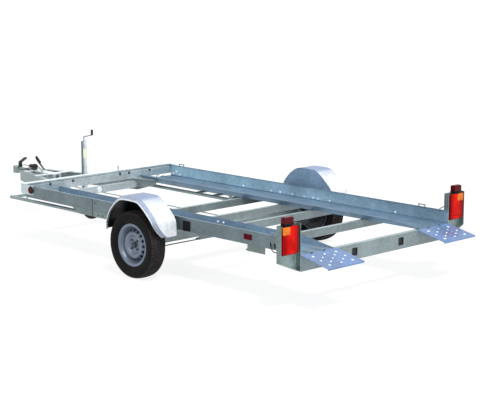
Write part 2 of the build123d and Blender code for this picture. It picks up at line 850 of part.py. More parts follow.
def arch(points, y, low):
    """Face under an open line whose upright ends are moved to height low, in the side plane at y."""
    outline = [(points[0][0], low), *points[1:-1], (points[-1][0], low)]
    return side_plane(y) * make_face(Polyline(*outline, close=True))


def arch_body(line, y_in, y_out, low):
    """Solid under the crown line, with its outer shoulder sloping down to the edge."""
    y_shoulder = fender_outer - fender_shoulder_width
    edge = inset(line, fender_shoulder_drop)
    body = extrude(arch(line, y_shoulder, low), y_shoulder - y_in)
    body += loft([arch(line, y_shoulder, low), arch(edge, fender_outer, low)], ruled=True)
    if y_out > fender_outer:
        body += extrude(arch(edge, y_out, low), y_out - fender_outer)
    return body


def fender():
    """Left fender: a bent crown with a sloping shoulder, a beaded edge, an inner wall and two stays."""
    line = [(row["x"], row["z"]) for row in fender_profile]
    y_in = fender_outer - fender_width
    wall_low = outer_flange_top - fender_mount_height
    shell = arch_body(line, y_in, fender_outer, fender_low)
    hollow_line, y_open = inset(line, fender_sheet), fender_outer + cut_over
    shell -= arch_body(hollow_line, y_in + fender_sheet, y_open, fender_low - cut_over)
    shell -= box_between(
        line[0][0] + fender_sheet, line[-1][0] - fender_sheet, y_in - cut_over, y_in + 2 * fender_sheet,
        fender_low - cut_over, wall_low,
    )
    bead_line = inset(line, fender_shoulder_drop)
    shell += sheet_along(bead_line, fender_bead, side_plane(fender_outer), fender_bead)
    for x in fender_stay_places:
        y_end = y_in + edge_round
        stay = [(track_half_width, wall_low), (y_end, wall_low), (y_end, outer_flange_top)]
        plane = section_plane(x - fender_stay_width / 2)
        shell += sheet_along(stay, -fender_stay_sheet, plane, fender_stay_width)
    return shell


def tail_lamp():
    """Left tail lamp, a rounded block on the lamp carrier."""
    x1 = -tracks_rear + carrier_set
    x0 = x1 - lamp_depth
    body = box_between(x0, x1, lamp_inner, lamp_inner + lamp_width, lamp_bottom, lamp_bottom + lamp_height)
    body = fillet(body.edges().filter_by(Axis.X), lamp_round)
    return chamfer(body.faces().sort_by(Axis.X)[0].edges(), lamp_bevel)


def marker_lamp():
    """Left marker lamp on top of the lamp carrier."""
    y_mid = track_half_width + marker_inset
    x1 = -tracks_rear + carrier_set + carrier_sheet
    z0 = carrier_top
    base = box_between(
        x1 - marker_depth, x1, y_mid - marker_width / 2, y_mid + marker_width / 2, z0, z0 + marker_base,
    )
    lens = box_between(
        x1 - marker_depth + edge_round, x1 - edge_round, y_mid - marker_width / 2 + edge_round,
        y_mid + marker_width / 2 - edge_round, z0 + marker_base, z0 + marker_height,
    )
    lens = fillet(lens.faces().sort_by(Axis.Z)[-1].edges(), marker_base)
    return base + lens


def side_reflector():
    """Left side reflector on the track's outer flange."""
    z0 = tread_z + outer_flange_height * reflector_place_share
    return box_between(
        reflector_x - reflector_length / 2, reflector_x + reflector_length / 2,
        track_half_width, track_half_width + reflector_depth, z0, z0 + reflector_height,
    )


def front_marker():
    """Left round marker lamp on the crossbar's end plate."""
    y0 = track_half_width + end_plate_sheet
    x = crossbar_front - end_plate_length + front_marker_r
    z = (crossbar_bottom + crossbar_top) / 2
    return rod((x, y0, z), (x, y0 + front_marker_depth, z), front_marker_r)


def ramp_rail(y):
    """One round side rail of the left ramp."""
    return rod((ramp_rear, y, ramp_z), (ramp_front, y, ramp_z), ramp_tube_r)


def loading_ramp():
    """Left loading ramp: a frame of round tube with a few rungs towards its rear end."""
    y_in, y_out = ramp_rail_places
    body = ramp_rail(y_in) + ramp_rail(y_out)
    for x in (ramp_rear + ramp_tube_r, ramp_front - ramp_tube_r):
        body += rod((x, y_in, ramp_z), (x, y_out, ramp_z), ramp_tube_r - edge_round)
    for share in ramp_rung_shares:
        x = ramp_front - share * ramp_length
        body += rod((x, y_in, ramp_z), (x, y_out, ramp_z), ramp_rung_r)
    return body


def ramp_hanger():
    """Left strap under the track that holds the rear end of the stored ramp."""
    y0 = ramp_inner - hanger_sheet - edge_round
    y1 = ramp_outer + edge_round + hanger_sheet
    line = [
        (y0, tread_under), (y0, ramp_bottom - hanger_sheet), (y1, ramp_bottom - hanger_sheet), (y1, tread_under),
    ]
    return sheet_along(line, -hanger_sheet, section_plane(hanger_place), hanger_width)


def ramp_hook(y):
    """Slanted rod from the crossbar's lower lip to a rail of the left ramp."""
    top_x = crossbar_front - crossbar_lip / 2
    hook = rod((top_x, y, crossbar_bottom), (hook_foot_x, y, ramp_z), hook_rod_r)
    hook += rod((top_x, y, crossbar_bottom - ramp_tube_r), (top_x, y, crossbar_bottom), hook_rod_r)
    above = box_between(
        tracks_front, hook_foot_x, y - ramp_tube_r, y + ramp_tube_r, crossbar_bottom, crossbar_top,
    )
    return hook - above - ramp_rail(y)


def mast_clamp():
    """Clamp that holds the jockey wheel's mast on the right drawbar leg."""
    along = (mast_x - leg_rear_x) * math.cos(leg_slope) - (-mast_y - leg_rear_y) * math.sin(leg_slope)
    x0, x1 = along - clamp_plate_length / 2, along + clamp_plate_length / 2
    plate = box_between(x0, x1, -leg_flange - clamp_plate, -leg_flange, leg_bottom, leg_top)
    block = box_between(
        along - mast_r, along + mast_r, -leg_flange - clamp_plate - clamp_wall - mast_r, -leg_flange - clamp_plate,
        leg_bottom, leg_top,
    )
    body = leg_place() * (plate + block)
    middle = Pos(mast_x, -mast_y, leg_bottom + leg_height / 2)
    body += middle * Cylinder(mast_r + clamp_wall, leg_height)
    body -= middle * Cylinder(mast_r, leg_height + cut_over)
    return mirror(body, Plane.XZ)


def mast_tube():
    """Outer tube of the jockey wheel with its cap."""
    z0, z1 = mast_bottom, mast_top
    tube = Pos(mast_x, mast_y, (z0 + z1) / 2) * Cylinder(mast_r, z1 - z0)
    bore_top = z1 - mast_cap
    bore_middle = (z0 - cut_over + bore_top) / 2
    tube -= Pos(mast_x, mast_y, bore_middle) * Cylinder(mast_inner_r + seat_gap, bore_top - z0 + cut_over)
    return tube


def inner_tube():
    """Inner tube that slides in the mast."""
    z0 = fork_crown_z
    tube = Pos(mast_x, mast_y, (z0 + inner_top) / 2) * Cylinder(mast_inner_r, inner_top - z0)
    bore = Pos(mast_x, mast_y, (z0 + mast_cap + inner_top + cut_over) / 2)
    tube -= bore * Cylinder(inner_bore_r, inner_top - z0 - mast_cap + cut_over)
    return tube


def turned_fork(shape):
    """Places a piece drawn with its trail along +X on the mast axis, turned as it stands."""
    return Location((mast_x, mast_y, 0), (0, 0, fork_turn)) * shape


def jockey_fork():
    """Fork plate with two cheeks that trail behind the mast axis."""
    z1 = fork_crown_z - seat_gap
    half = fork_gap / 2
    crown = box_between(-mast_r, fork_trail + jockey_hub_r, -half - fork_sheet, half + fork_sheet, z1 - fork_sheet, z1)
    body = crown
    outline = Polyline(
        (-mast_r, z1), (fork_trail + jockey_hub_r, z1), (fork_trail + jockey_hub_r, jockey_r),
        (fork_trail, jockey_r - jockey_hub_r), (fork_trail - jockey_hub_r, jockey_r), (-mast_r, z1 - 2 * jockey_hub_r),
        close=True,
    )
    for y in (half + fork_sheet, -half):
        body += extrude(side_plane(y) * make_face(outline), fork_sheet)
    pin_reach = half + 2 * fork_sheet
    body += rod((fork_trail, -pin_reach, jockey_r), (fork_trail, pin_reach, jockey_r), jockey_pin_r)
    return turned_fork(body)


def jockey_rim():
    """Rim of the jockey wheel with its hub."""
    half = jockey_width / 2 - 2 * edge_round
    ring = Rotation(90, 0, 0) * Cylinder(jockey_rim_r, 2 * half)
    ring -= Rotation(90, 0, 0) * Cylinder(jockey_pin_r + seat_gap, 2 * half + cut_over)
    return turned_fork(Pos(fork_trail, 0, jockey_r) * ring)


def jockey_tyre():
    """Solid rubber tyre of the jockey wheel."""
    half = jockey_width / 2
    ring = Rotation(90, 0, 0) * Cylinder(jockey_r, 2 * half)
    ring = chamfer(ring.edges().filter_by(GeomType.CIRCLE), jockey_shoulder)
    ring -= Rotation(90, 0, 0) * Cylinder(jockey_rim_r, 2 * half + cut_over)
    return turned_fork(Pos(fork_trail, 0, jockey_r) * ring)


def mast_crank():
    """Crank on top of the mast with its upright black grip."""
    z0 = mast_top
    z1 = z0 + crank_rise
    turn = math.radians(crank_turn)
    x1 = mast_x + crank_reach * math.cos(turn)
    y1 = mast_y + crank_reach * math.sin(turn)
    post = rod((mast_x, mast_y, z0), (mast_x, mast_y, z1), crank_rod_r)
    arm = rod((mast_x, mast_y, z1), (x1, y1, z1 + crank_rise / 2), crank_rod_r)
    knee = Pos(mast_x, mast_y, z1) * Sphere(crank_rod_r)
    grip_z = z1 + crank_rise / 2
    grip = Pos(x1, y1, grip_z + crank_grip_length / 2) * Cylinder(crank_grip_r, crank_grip_length)
    elbow = Pos(x1, y1, grip_z) * Sphere(crank_rod_r)
    return post + arm + knee + grip + elbow


def tie_loops():
    """Left tie-down loops on the outer flange's lip."""
    y = track_half_width - outer_lip_width / 2
    z0 = outer_flange_top
    loops = []
    for x in loop_places:
        half = loop_length / 2
        posts = [rod((x + s * half, y, z0), (x + s * half, y, z0 + loop_height), loop_rod_r) for s in (-1, 1)]
        reach, top = half + loop_rod_r, z0 + loop_height
        bar = rod((x - reach, y, top), (x + reach, y, top), loop_rod_r)
        loops.append(bar + posts[0] + posts[1])
    return loops[0] + loops[1]


pieces = {}


def add(name, shape):
    """Keeps a piece under its node name."""
    pieces[name] = shape


def add_both(name, shape):
    """Keeps a left piece and its mirror image as two solids of one node."""
    halves = both_sides(shape)
    solids = halves["left"].solids() + halves["right"].solids()
    pieces[name] = Compound(children=list(solids))


def add_pair(name, shape):
    """Keeps a left piece and its mirror image on the right."""
    for side, half in both_sides(shape).items():
        pieces[name + "_" + side] = half


def whole_trailer():
    """Makes every piece of the trailer."""
    add_pair("wheel_track", wheel_track())
    add("front_crossbar", front_crossbar())
    add_both("crossbar_ends", crossbar_end_plate())
    add("front_member", front_member())
    for number, x in enumerate(member_places, 1):
        add("cross_member_" + str(number), cross_member(x, track_half_width - member_inset))
    add_both("member_feet", member_foot())
    add("rear_crossbar", rear_crossbar())
    add_both("lamp_carriers", lamp_carrier())
    add_pair("ramp_lip", ramp_lip())
    add_pair("drawbar_leg", drawbar_leg())
    add("drawbar_nose", nose_plate())
    add("overrun_housing", overrun_housing())
    add("draw_tube", draw_tube())
    add("bellows", bellows())
    add("coupling_head", coupling_head())
    add("coupling_handle", coupling_handle())
    add("hand_brake", hand_brake())
    add("plug_holder", plug_holder())
    add("lighting_plug", lighting_plug())
    add("axle_beam", axle_beam())
    add_both("swing_arms", swing_arm())
    add_both("brake_backplates", backplate())
    add_both("axle_brackets", axle_bracket())
    add_both("side_aprons", side_apron())
    add("brake_rod", brake_rod())
    add("brake_cables", brake_cables())
    add_pair("hub_drum", hub_drum())
    add_pair("wheel_rim", wheel_rim())
    add_pair("tyre", tyre())
    add_pair("fender", fender())
    add_both("tail_lamps", tail_lamp())
    add_both("marker_lamps", marker_lamp())
    add_both("side_reflectors", side_reflector())
    add_both("front_markers", front_marker())
    add_pair("loading_ramp", loading_ramp())
    add_both("ramp_hangers", Compound(children=[ramp_hanger()] + [ramp_hook(y) for y in ramp_rail_places]))
    add_both("tie_loops", tie_loops())
    add_both("side_pads", side_pad())
    add("mast_clamp", mast_clamp())
    add("mast_tube", mast_tube())
    add("mast_crank", mast_crank())
    add("jockey_inner_tube", inner_tube())
    add("jockey_fork", jockey_fork())
    add("jockey_rim", jockey_rim())
    add("jockey_tyre", jockey_tyre())


def main():
    whole_trailer()
    os.makedirs("parts", exist_ok=True)
    for name, shape in pieces.items():
        export_step(Pos(axle_x, 0, 0) * shape, os.path.join("parts", name + ".step"))


main()
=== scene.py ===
import json
import math

import bmesh
import bpy
import numpy as np
from mathutils import Matrix, Vector


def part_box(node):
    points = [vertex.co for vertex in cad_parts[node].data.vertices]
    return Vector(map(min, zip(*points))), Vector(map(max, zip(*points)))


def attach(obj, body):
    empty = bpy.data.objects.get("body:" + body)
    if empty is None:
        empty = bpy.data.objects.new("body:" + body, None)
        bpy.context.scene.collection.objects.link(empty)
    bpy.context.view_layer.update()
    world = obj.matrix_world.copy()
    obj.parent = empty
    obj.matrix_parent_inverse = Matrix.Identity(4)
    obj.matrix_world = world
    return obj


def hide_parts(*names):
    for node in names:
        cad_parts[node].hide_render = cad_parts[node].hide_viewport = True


bl_info = {
    "name": "Car hauler trailer dressing",
    "version": (1, 0, 0),
    "blender": (4, 5, 0),
    "location": "View3D > Sidebar > Trailer",
    "description": "Finishes, tyres, lamps, fasteners and stage for a packed car hauler trailer",
    "category": "Object",
}

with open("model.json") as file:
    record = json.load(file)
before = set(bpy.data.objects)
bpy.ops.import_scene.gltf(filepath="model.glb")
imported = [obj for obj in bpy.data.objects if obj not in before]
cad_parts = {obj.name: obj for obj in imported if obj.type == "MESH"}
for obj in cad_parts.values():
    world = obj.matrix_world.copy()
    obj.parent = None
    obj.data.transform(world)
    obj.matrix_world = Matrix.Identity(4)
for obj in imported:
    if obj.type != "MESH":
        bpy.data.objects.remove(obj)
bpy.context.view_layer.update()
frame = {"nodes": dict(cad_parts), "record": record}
NODES = frame["nodes"]

FINISH_PREFIX = "finish_"
CHASSIS = "chassis"
SIDES = (("left", 1.0), ("right", -1.0))

# Sheet of the tracks, and the height of a ramp lip's top at its low edge over the foot of its box
TRACK_SHEET = 0.003
LIP_LOW_EDGE = 0.014


def box_of(node):
    """Lowest and highest corner of a CAD node as arrays."""
    low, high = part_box(node)
    return np.array(low), np.array(high)


def lip_slope():
    """Rise of the ramp lips' top over their length."""
    low, high = box_of("ramp_lip_left")
    return (high[2] - LIP_LOW_EDGE - low[2]) / (high[0] - low[0])


# Settings


def metres(name, description, default):
    """A length property in metres."""
    return bpy.props.FloatProperty(
        name=name, description=description, default=default, min=0.0, unit="LENGTH"
    )


def colour(name, description, default):
    """A colour property, given as the screen shows it."""
    return bpy.props.FloatVectorProperty(
        name=name, description=description, default=default, size=3, min=0.0, max=1.0, subtype="COLOR_GAMMA"
    )


class TrailerSizes(bpy.types.PropertyGroup):
    """Sizes of the pieces made here, in metres."""

    groove_depth: metres("Tread groove depth", "Depth of the grooves round the tyre", 0.008)
    groove_width: metres("Tread groove width", "Width of the grooves round the tyre", 0.008)
    sipe_depth: metres("Sipe depth", "Depth of the cross cuts in the tread", 0.005)
    bolt_radius: metres("Bolt radius", "Across the corners, half of a flange bolt", 0.0105)
    bolt_height: metres("Bolt height", "Height of a bolt head", 0.008)
    lens_ridge: metres("Lens ridge pitch", "Distance between the ridges of the lamp lenses", 0.006)
    cable_diameter: metres("Cable diameter", "Diameter of the cables at the lamps and the plug", 0.0075)
    label_height: metres("Mast label height", "Height of the blank label on the jockey mast", 0.095)
    stud_height: metres("Crossbar stud height", "Height of the stud on the front crossbar", 0.045)


class TrailerColours(bpy.types.PropertyGroup):
    """Colours of the finishes."""

    zinc: colour("Zinc", "Galvanised steel in the open", (0.545, 0.60, 0.61))
    # Painted shade: a darker grey for the outer faces of the wheel tracks
    zinc_side_shade: colour("Zinc, outer sides", "Outer faces of the wheel tracks", (0.42, 0.48, 0.50))
    # Painted reflection: a blue for the sky mirrored in the treads and low flanges
    zinc_sky_reflection: colour("Zinc, inside the tracks", "Treads and low flanges", (0.425, 0.53, 0.62))
    # Painted reflection and light: a light sky blue for the inner faces of the high flanges
    zinc_wall_light: colour("Zinc, track walls", "Inner faces of the high flanges", (0.66, 0.78, 0.86))
    # Painted light: a lighter copy of the zinc for the crossbar, front member, crossbar ends, mast clamp,
    # stud and saddle bolts
    zinc_lit: colour("Zinc, bright", "Newer galvanised pieces", (0.74, 0.79, 0.81))
    # Painted shade: a darker copy of the zinc for the lamp carriers, aprons and member feet
    zinc_shade: colour("Zinc, dull", "Lamp carriers, aprons and feet", (0.46, 0.52, 0.51))
    # Painted reflection: a blue for the sky mirrored in the ramp lips
    zinc_lip_sky: colour("Zinc, ramp lips", "Sloping lips at the rear", (0.46, 0.58, 0.765))
    # Painted highlight: white for the glints on the lips' dimples
    zinc_dimple_highlight: colour("Zinc, worn", "Dimples of the ramp lips", (1.0, 1.0, 1.0))
    # Painted highlight: near white for the glints on the bolts and lip studs
    zinc_bolt_highlight: colour("Zinc, bolts", "Bolts in the tracks and studs of the lips", (0.95, 0.97, 1.0))
    # Painted light: the fender colours are copies of one zinc set by which way a face points: nearly white
    # lit slopes, a sky reflection on the crown, a blue-grey inner wall, grey shoulders and a light rolled
    # edge
    fender: colour("Fender zinc", "Sloping faces of the fenders", (0.93, 0.945, 0.96))
    fender_crown: colour("Fender crown", "Level faces, which mirror the sky", (0.56, 0.625, 0.745))
    fender_wall: colour("Fender wall", "Inner side walls of the fenders", (0.52, 0.625, 0.73))
    fender_shoulder: colour("Fender shoulder", "Sloping outer shoulders of the fenders", (0.60, 0.65, 0.73))
    fender_lit_edge: colour("Fender edge", "Rolled outer edges of the fenders", (0.86, 0.88, 0.90))
    # Painted shade: near black for the inside of the fender arches, also given to the dust shields and window
    # covers
    arch_shade: colour("Underside", "Undersides of the fenders", (0.05, 0.065, 0.075))
    rim: colour("Rim silver", "Wheel rims", (0.43, 0.47, 0.53))
    hub: colour("Hub steel", "Hubs and brake drums", (0.24, 0.26, 0.29))
    rubber: colour("Rubber", "Tyres", (0.012, 0.013, 0.021))
    dust: colour("Dust", "Road dust on the treads", (0.22, 0.20, 0.20))
    plastic: colour("Black plastic", "Housings, grips and plugs", (0.07, 0.075, 0.085))
    lever: colour("Lever grey", "Arm of the hand brake", (0.42, 0.441, 0.4536))
    lens_red: colour("Lens red", "Sides of the tail lamps' red lenses", (0.66, 0.02, 0.03))
    # Painted highlight: a brighter red down the middle of the tail lamps' red lenses
    lens_highlight: colour("Lens red, middle", "Middle of the tail lamps' red lenses", (0.93, 0.10, 0.06))
    lens_amber: colour("Lens amber", "Amber lenses of the tail lamps", (0.96, 0.52, 0.20))
    lens_bright: colour("Reflector red", "Three-cornered reflectors", (0.86, 0.07, 0.04))
    marker_red: colour("Marker red", "Lenses of the marker lamps", (0.36, 0.02, 0.06))
    marker_brown: colour("Marker brown", "Side reflectors and front markers", (0.30, 0.14, 0.11))
    cast: colour("Cast steel", "Overrun housing and its castings", (0.80, 0.85, 0.88))
    head: colour("Coupling head", "Cast coupling head, greened by the weather", (0.50, 0.56, 0.54))
    mast_shade: colour("Mast, shaded", "Side of the jockey mast that turns forward", (0.44, 0.51, 0.56))
    mast_light: colour("Mast, bright", "Side of the jockey mast that turns back", (0.95, 0.98, 0.99))
    label: colour("Label", "Blank label on the jockey mast", (0.97, 1.0, 0.78))


def sizes():
    return bpy.context.scene.trailer_sizes


def colours():
    return bpy.context.scene.trailer_colours


# Mesh helpers


def grid_faces(rows, columns, wrap_rows=False, wrap_columns=False):
    """Quads of a grid of rows by columns points, joined round where a direction wraps."""
    row_steps = rows if wrap_rows else rows - 1
    column_steps = columns if wrap_columns else columns - 1
    i, j = np.meshgrid(np.arange(row_steps), np.arange(column_steps), indexing="ij")
    i_next, j_next = (i + 1) % rows, (j + 1) % columns
    corners = (i * columns + j, i_next * columns + j, i_next * columns + j_next, i * columns + j_next)
    return np.stack(corners, axis=-1).reshape(-1, 4)


def surface(points, wrap_rows=False, wrap_columns=False, caps=False):
    """Vertices and faces of a grid of points, with flat caps on its first and last row if asked."""
    rows, columns = points.shape[:2]
    faces = grid_faces(rows, columns, wrap_rows, wrap_columns).tolist()
    if caps:
        faces.append(list(range(columns)))
        faces.append([(rows - 1) * columns + k for k in range(columns - 1, -1, -1)])
    return points.reshape(-1, 3), faces


def many(points):
    """Closed surfaces of a stack of ring grids: points has the shape count, rows, columns, 3."""
    count, rows, columns = points.shape[:3]
    shift = (np.arange(count) * rows * columns)[:, None, None]
    sides = grid_faces(rows, columns, wrap_columns=True)[None] + shift
    first = np.arange(columns)[None] + shift[:, :, 0]
    last = (rows - 1) * columns + np.arange(columns)[::-1][None] + shift[:, :, 0]
    return points.reshape(-1, 3), sides.reshape(-1, 4).tolist() + first.tolist() + last.tolist()


def piece(name, parts, material, smooth_degrees=35.0):
    """One mesh object from several surfaces, its faces pointing outwards."""
    vertices, faces, start = [], [], 0
    for part_vertices, part_faces in parts:
        vertices.append(np.asarray(part_vertices, dtype=float))
        faces += [[v + start for v in face] for face in part_faces]
        start += len(part_vertices)
    mesh = bpy.data.meshes.new(name)
    mesh.from_pydata(np.concatenate(vertices).tolist(), [], faces)
    build = bmesh.new()
    build.from_mesh(mesh)
    bmesh.ops.recalc_face_normals(build, faces=build.faces)
    build.to_mesh(mesh)
    build.free()
    mesh.polygons.foreach_set("use_smooth", [True] * len(mesh.polygons))
    mesh.set_sharp_from_angle(angle=math.radians(smooth_degrees))
    mesh.update()
    made = bpy.data.objects.new(name, mesh)
    bpy.context.scene.collection.objects.link(made)
    made.data.materials.append(material)
    return made


def place(made, body, slot, *nodes):
    """Rides a piece on its body and hides the nodes that it stands for; its slot is not used."""
    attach(made, body)
    if nodes:
        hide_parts(*nodes)


def fixed_piece(name, parts, material, slot, *nodes, smooth_degrees=35.0):
    """A piece that rides on the chassis."""
    place(piece(name, parts, material, smooth_degrees), CHASSIS, slot, *nodes)


def flipped(parts, sign=-1.0):
    """The parts with their places across multiplied by a sign."""
    turn = np.array([1.0, sign, 1.0])
    return [(np.asarray(vertices) * turn, faces) for vertices, faces in parts]


def mirrored(parts):
    """The parts and their mirror images on the other side of the trailer."""
    return parts + flipped(parts)


def circle(sides, turn=0.0):
    """Evenly spaced angles round a full turn."""
    return np.arange(sides) * 2 * np.pi / sides + turn


def frame_of(normal):
    """Two unit vectors square to a normal and to each other, and the normal."""
    n = np.asarray(normal, dtype=float)
    n = n / np.linalg.norm(n)
    help_axis = np.array([0.0, 0.0, 1.0]) if abs(n[2]) < 0.9 else np.array([1.0, 0.0, 0.0])
    u = np.cross(help_axis, n)
    u /= np.linalg.norm(u)
    return u, np.cross(n, u), n


def ring_stacks(places, normal, rings, sides, turn=0.0):
    """Closed stacks of rings about a normal at each place: each ring has a radius and a height."""
    u, v, n = frame_of(normal)
    radii, heights = np.array(rings, dtype=float).T
    angles = circle(sides, turn)
    ring = np.cos(angles)[:, None] * u + np.sin(angles)[:, None] * v
    stack = radii[:, None, None] * ring[None] + heights[:, None, None] * n
    return many(np.asarray(places, dtype=float)[:, None, None, :] + stack[None])


def bolts(places, normal, radius, height):
    """Flange bolts: a round flange, then a six-sided head with a chamfered top."""
    rim, seat, chamfer = radius * 1.25, height * 0.3, radius * 0.82
    flange = ((rim, 0.0), (rim, height * 0.22), (radius, seat))
    head = ((radius, seat), (radius, height * 0.85), (chamfer, height))
    return [ring_stacks(places, normal, flange, 18), ring_stacks(places, normal, head, 6, turn=0.3)]


def domes(places, normal, radius, height):
    """Round pressed studs: rings on a quarter ellipse from the foot to the top."""
    t = np.linspace(0, np.pi / 2 * 0.94, 6)
    return [ring_stacks(places, normal, np.column_stack([radius * np.cos(t), height * np.sin(t)]), 18)]


def rounded_rectangle(half_u, half_v, radius, corner_steps=6):
    """Points of a rectangle with round corners, in order."""
    t = np.linspace(0, np.pi / 2, corner_steps)
    corners = []
    for k, (su, sv) in enumerate(((1, 1), (-1, 1), (-1, -1), (1, -1))):
        angle = t + k * np.pi / 2
        centre = np.array([su * (half_u - radius), sv * (half_v - radius)])
        corners.append(centre + radius * np.stack([np.cos(angle), np.sin(angle)], axis=-1))
    return np.concatenate(corners)


def cushion_block(centre, normal, half_u, half_v, radius, steps):
    """A block with round corners: rounded rectangles, each with a height and an inset from the widest."""
    u, v, n = frame_of(normal)
    rows = []
    for height, inset in steps:
        outline = rounded_rectangle(half_u - inset, half_v - inset, max(radius - inset, radius * 0.3))
        rows.append(np.asarray(centre) + outline[:, :1] * u + outline[:, 1:] * v + height * n)
    return surface(np.stack(rows), wrap_columns=True, caps=True)


def tube(path, radius, sides=12):
    """A round tube: circles square to a path in an upright plane along the trailer, closed at both ends."""
    path = np.asarray(path, dtype=float)
    along = np.gradient(path, axis=0)
    along /= np.linalg.norm(along, axis=1)[:, None]
    side = np.cross(along, np.array([0.0, 1.0, 0.0]))
    side /= np.linalg.norm(side, axis=1)[:, None]
    up = np.cross(side, along)
    angle = circle(sides)[None, :, None]
    rings = path[:, None] + radius * (np.cos(angle) * side[:, None] + np.sin(angle) * up[:, None])
    return surface(rings, wrap_columns=True, caps=True)


def carried_round(centre, radii, across, sides):
    """A ring about a wheel's axis: each row of radii, at its place across, goes round in a circle."""
    angle = circle(sides)
    along, up = centre[0] + radii * np.cos(angle), centre[2] + radii * np.sin(angle)
    points = np.stack([along, np.broadcast_to(across[:, None], along.shape), up], axis=-1)
    return surface(points, wrap_rows=True, wrap_columns=True)


def turned(centre, profile, sides=96):
    """A ring of a closed profile, whose points are pairs of a radius and a place across."""
    radii, across = np.array(profile).T
    return carried_round(centre, radii[:, None], across, sides)


# Materials

# Galvanised look: scales of its crystals, clouds and rain streaks, the shades that each gives, and the gloss
CRYSTAL_SCALE, CLOUD_SCALE, STREAK_SCALE = 70.0, 3.2, 9.0
STREAK_STRETCH = (1.0, 1.0, 0.12)
CRYSTAL_SHADES, CLOUD_SHADES, STREAK_SHADES = (0.88, 1.10), (0.80, 1.16), (0.93, 1.06)
ZINC_ROUGHNESS = (0.30, 0.52)
NOISE_SPAN = (0.3, 0.7)  # where nearly all values of a cloudy noise lie

# Parts of a face's direction: over or under these it counts as level, as rear, or as square across
LEVEL_FACE, REAR_FACE, SIDE_FACE = 0.95, -0.9, 0.7

# Painted light on the mast: the way that its lit side points, and the span from shaded to lit
MAST_BRIGHT_WAY = (-0.75, -0.66)  # forward and left parts of the way that the mast's bright side points
MAST_SPAN = (-0.25, 0.45)  # from dull to bright, as parts of that way

# Wheel track: depth of the outer face's skin, of the wall, and the height at which the wall starts
TRACK_SKIN, TRACK_WALL, TRACK_TREAD = 0.0008, 0.006, 0.009
# Painted light on the track walls: factors on their colour at the rear and at the front
TRACK_WALL_LIGHT = (0.84, 1.2)  # at the rear and at the front

# Ramp lips: height from which a dimple gets a painted highlight, and the pitch of the dimples over the lip's
# sizes
LIP_DIMPLE_MASK = 0.0012
LIP_PITCH_SHARES = (0.15, 1 / 6)

# Fender: part of the direction up over which the crown's painted sky reflection comes in, that of a shoulder
# across, and the width of the edge; these place the fender's painted light
CROWN_SPAN, SHOULDER_SPAN, FENDER_EDGE_BAND = (0.76, 0.97), (0.2, 0.9), 0.0035

TREAD_BAND = 0.016  # depth under the crown down to which dust lies on a tyre
WAVE_RADIANS = 20  # a wave texture's phase for one unit of scale and length

# Heights at which a lamp's lens starts over its foot, and a lever's or crank's grip under its top
MARKER_FOOT, BRAKE_GRIP, CRANK_GRIP = 0.012, 0.075, 0.054


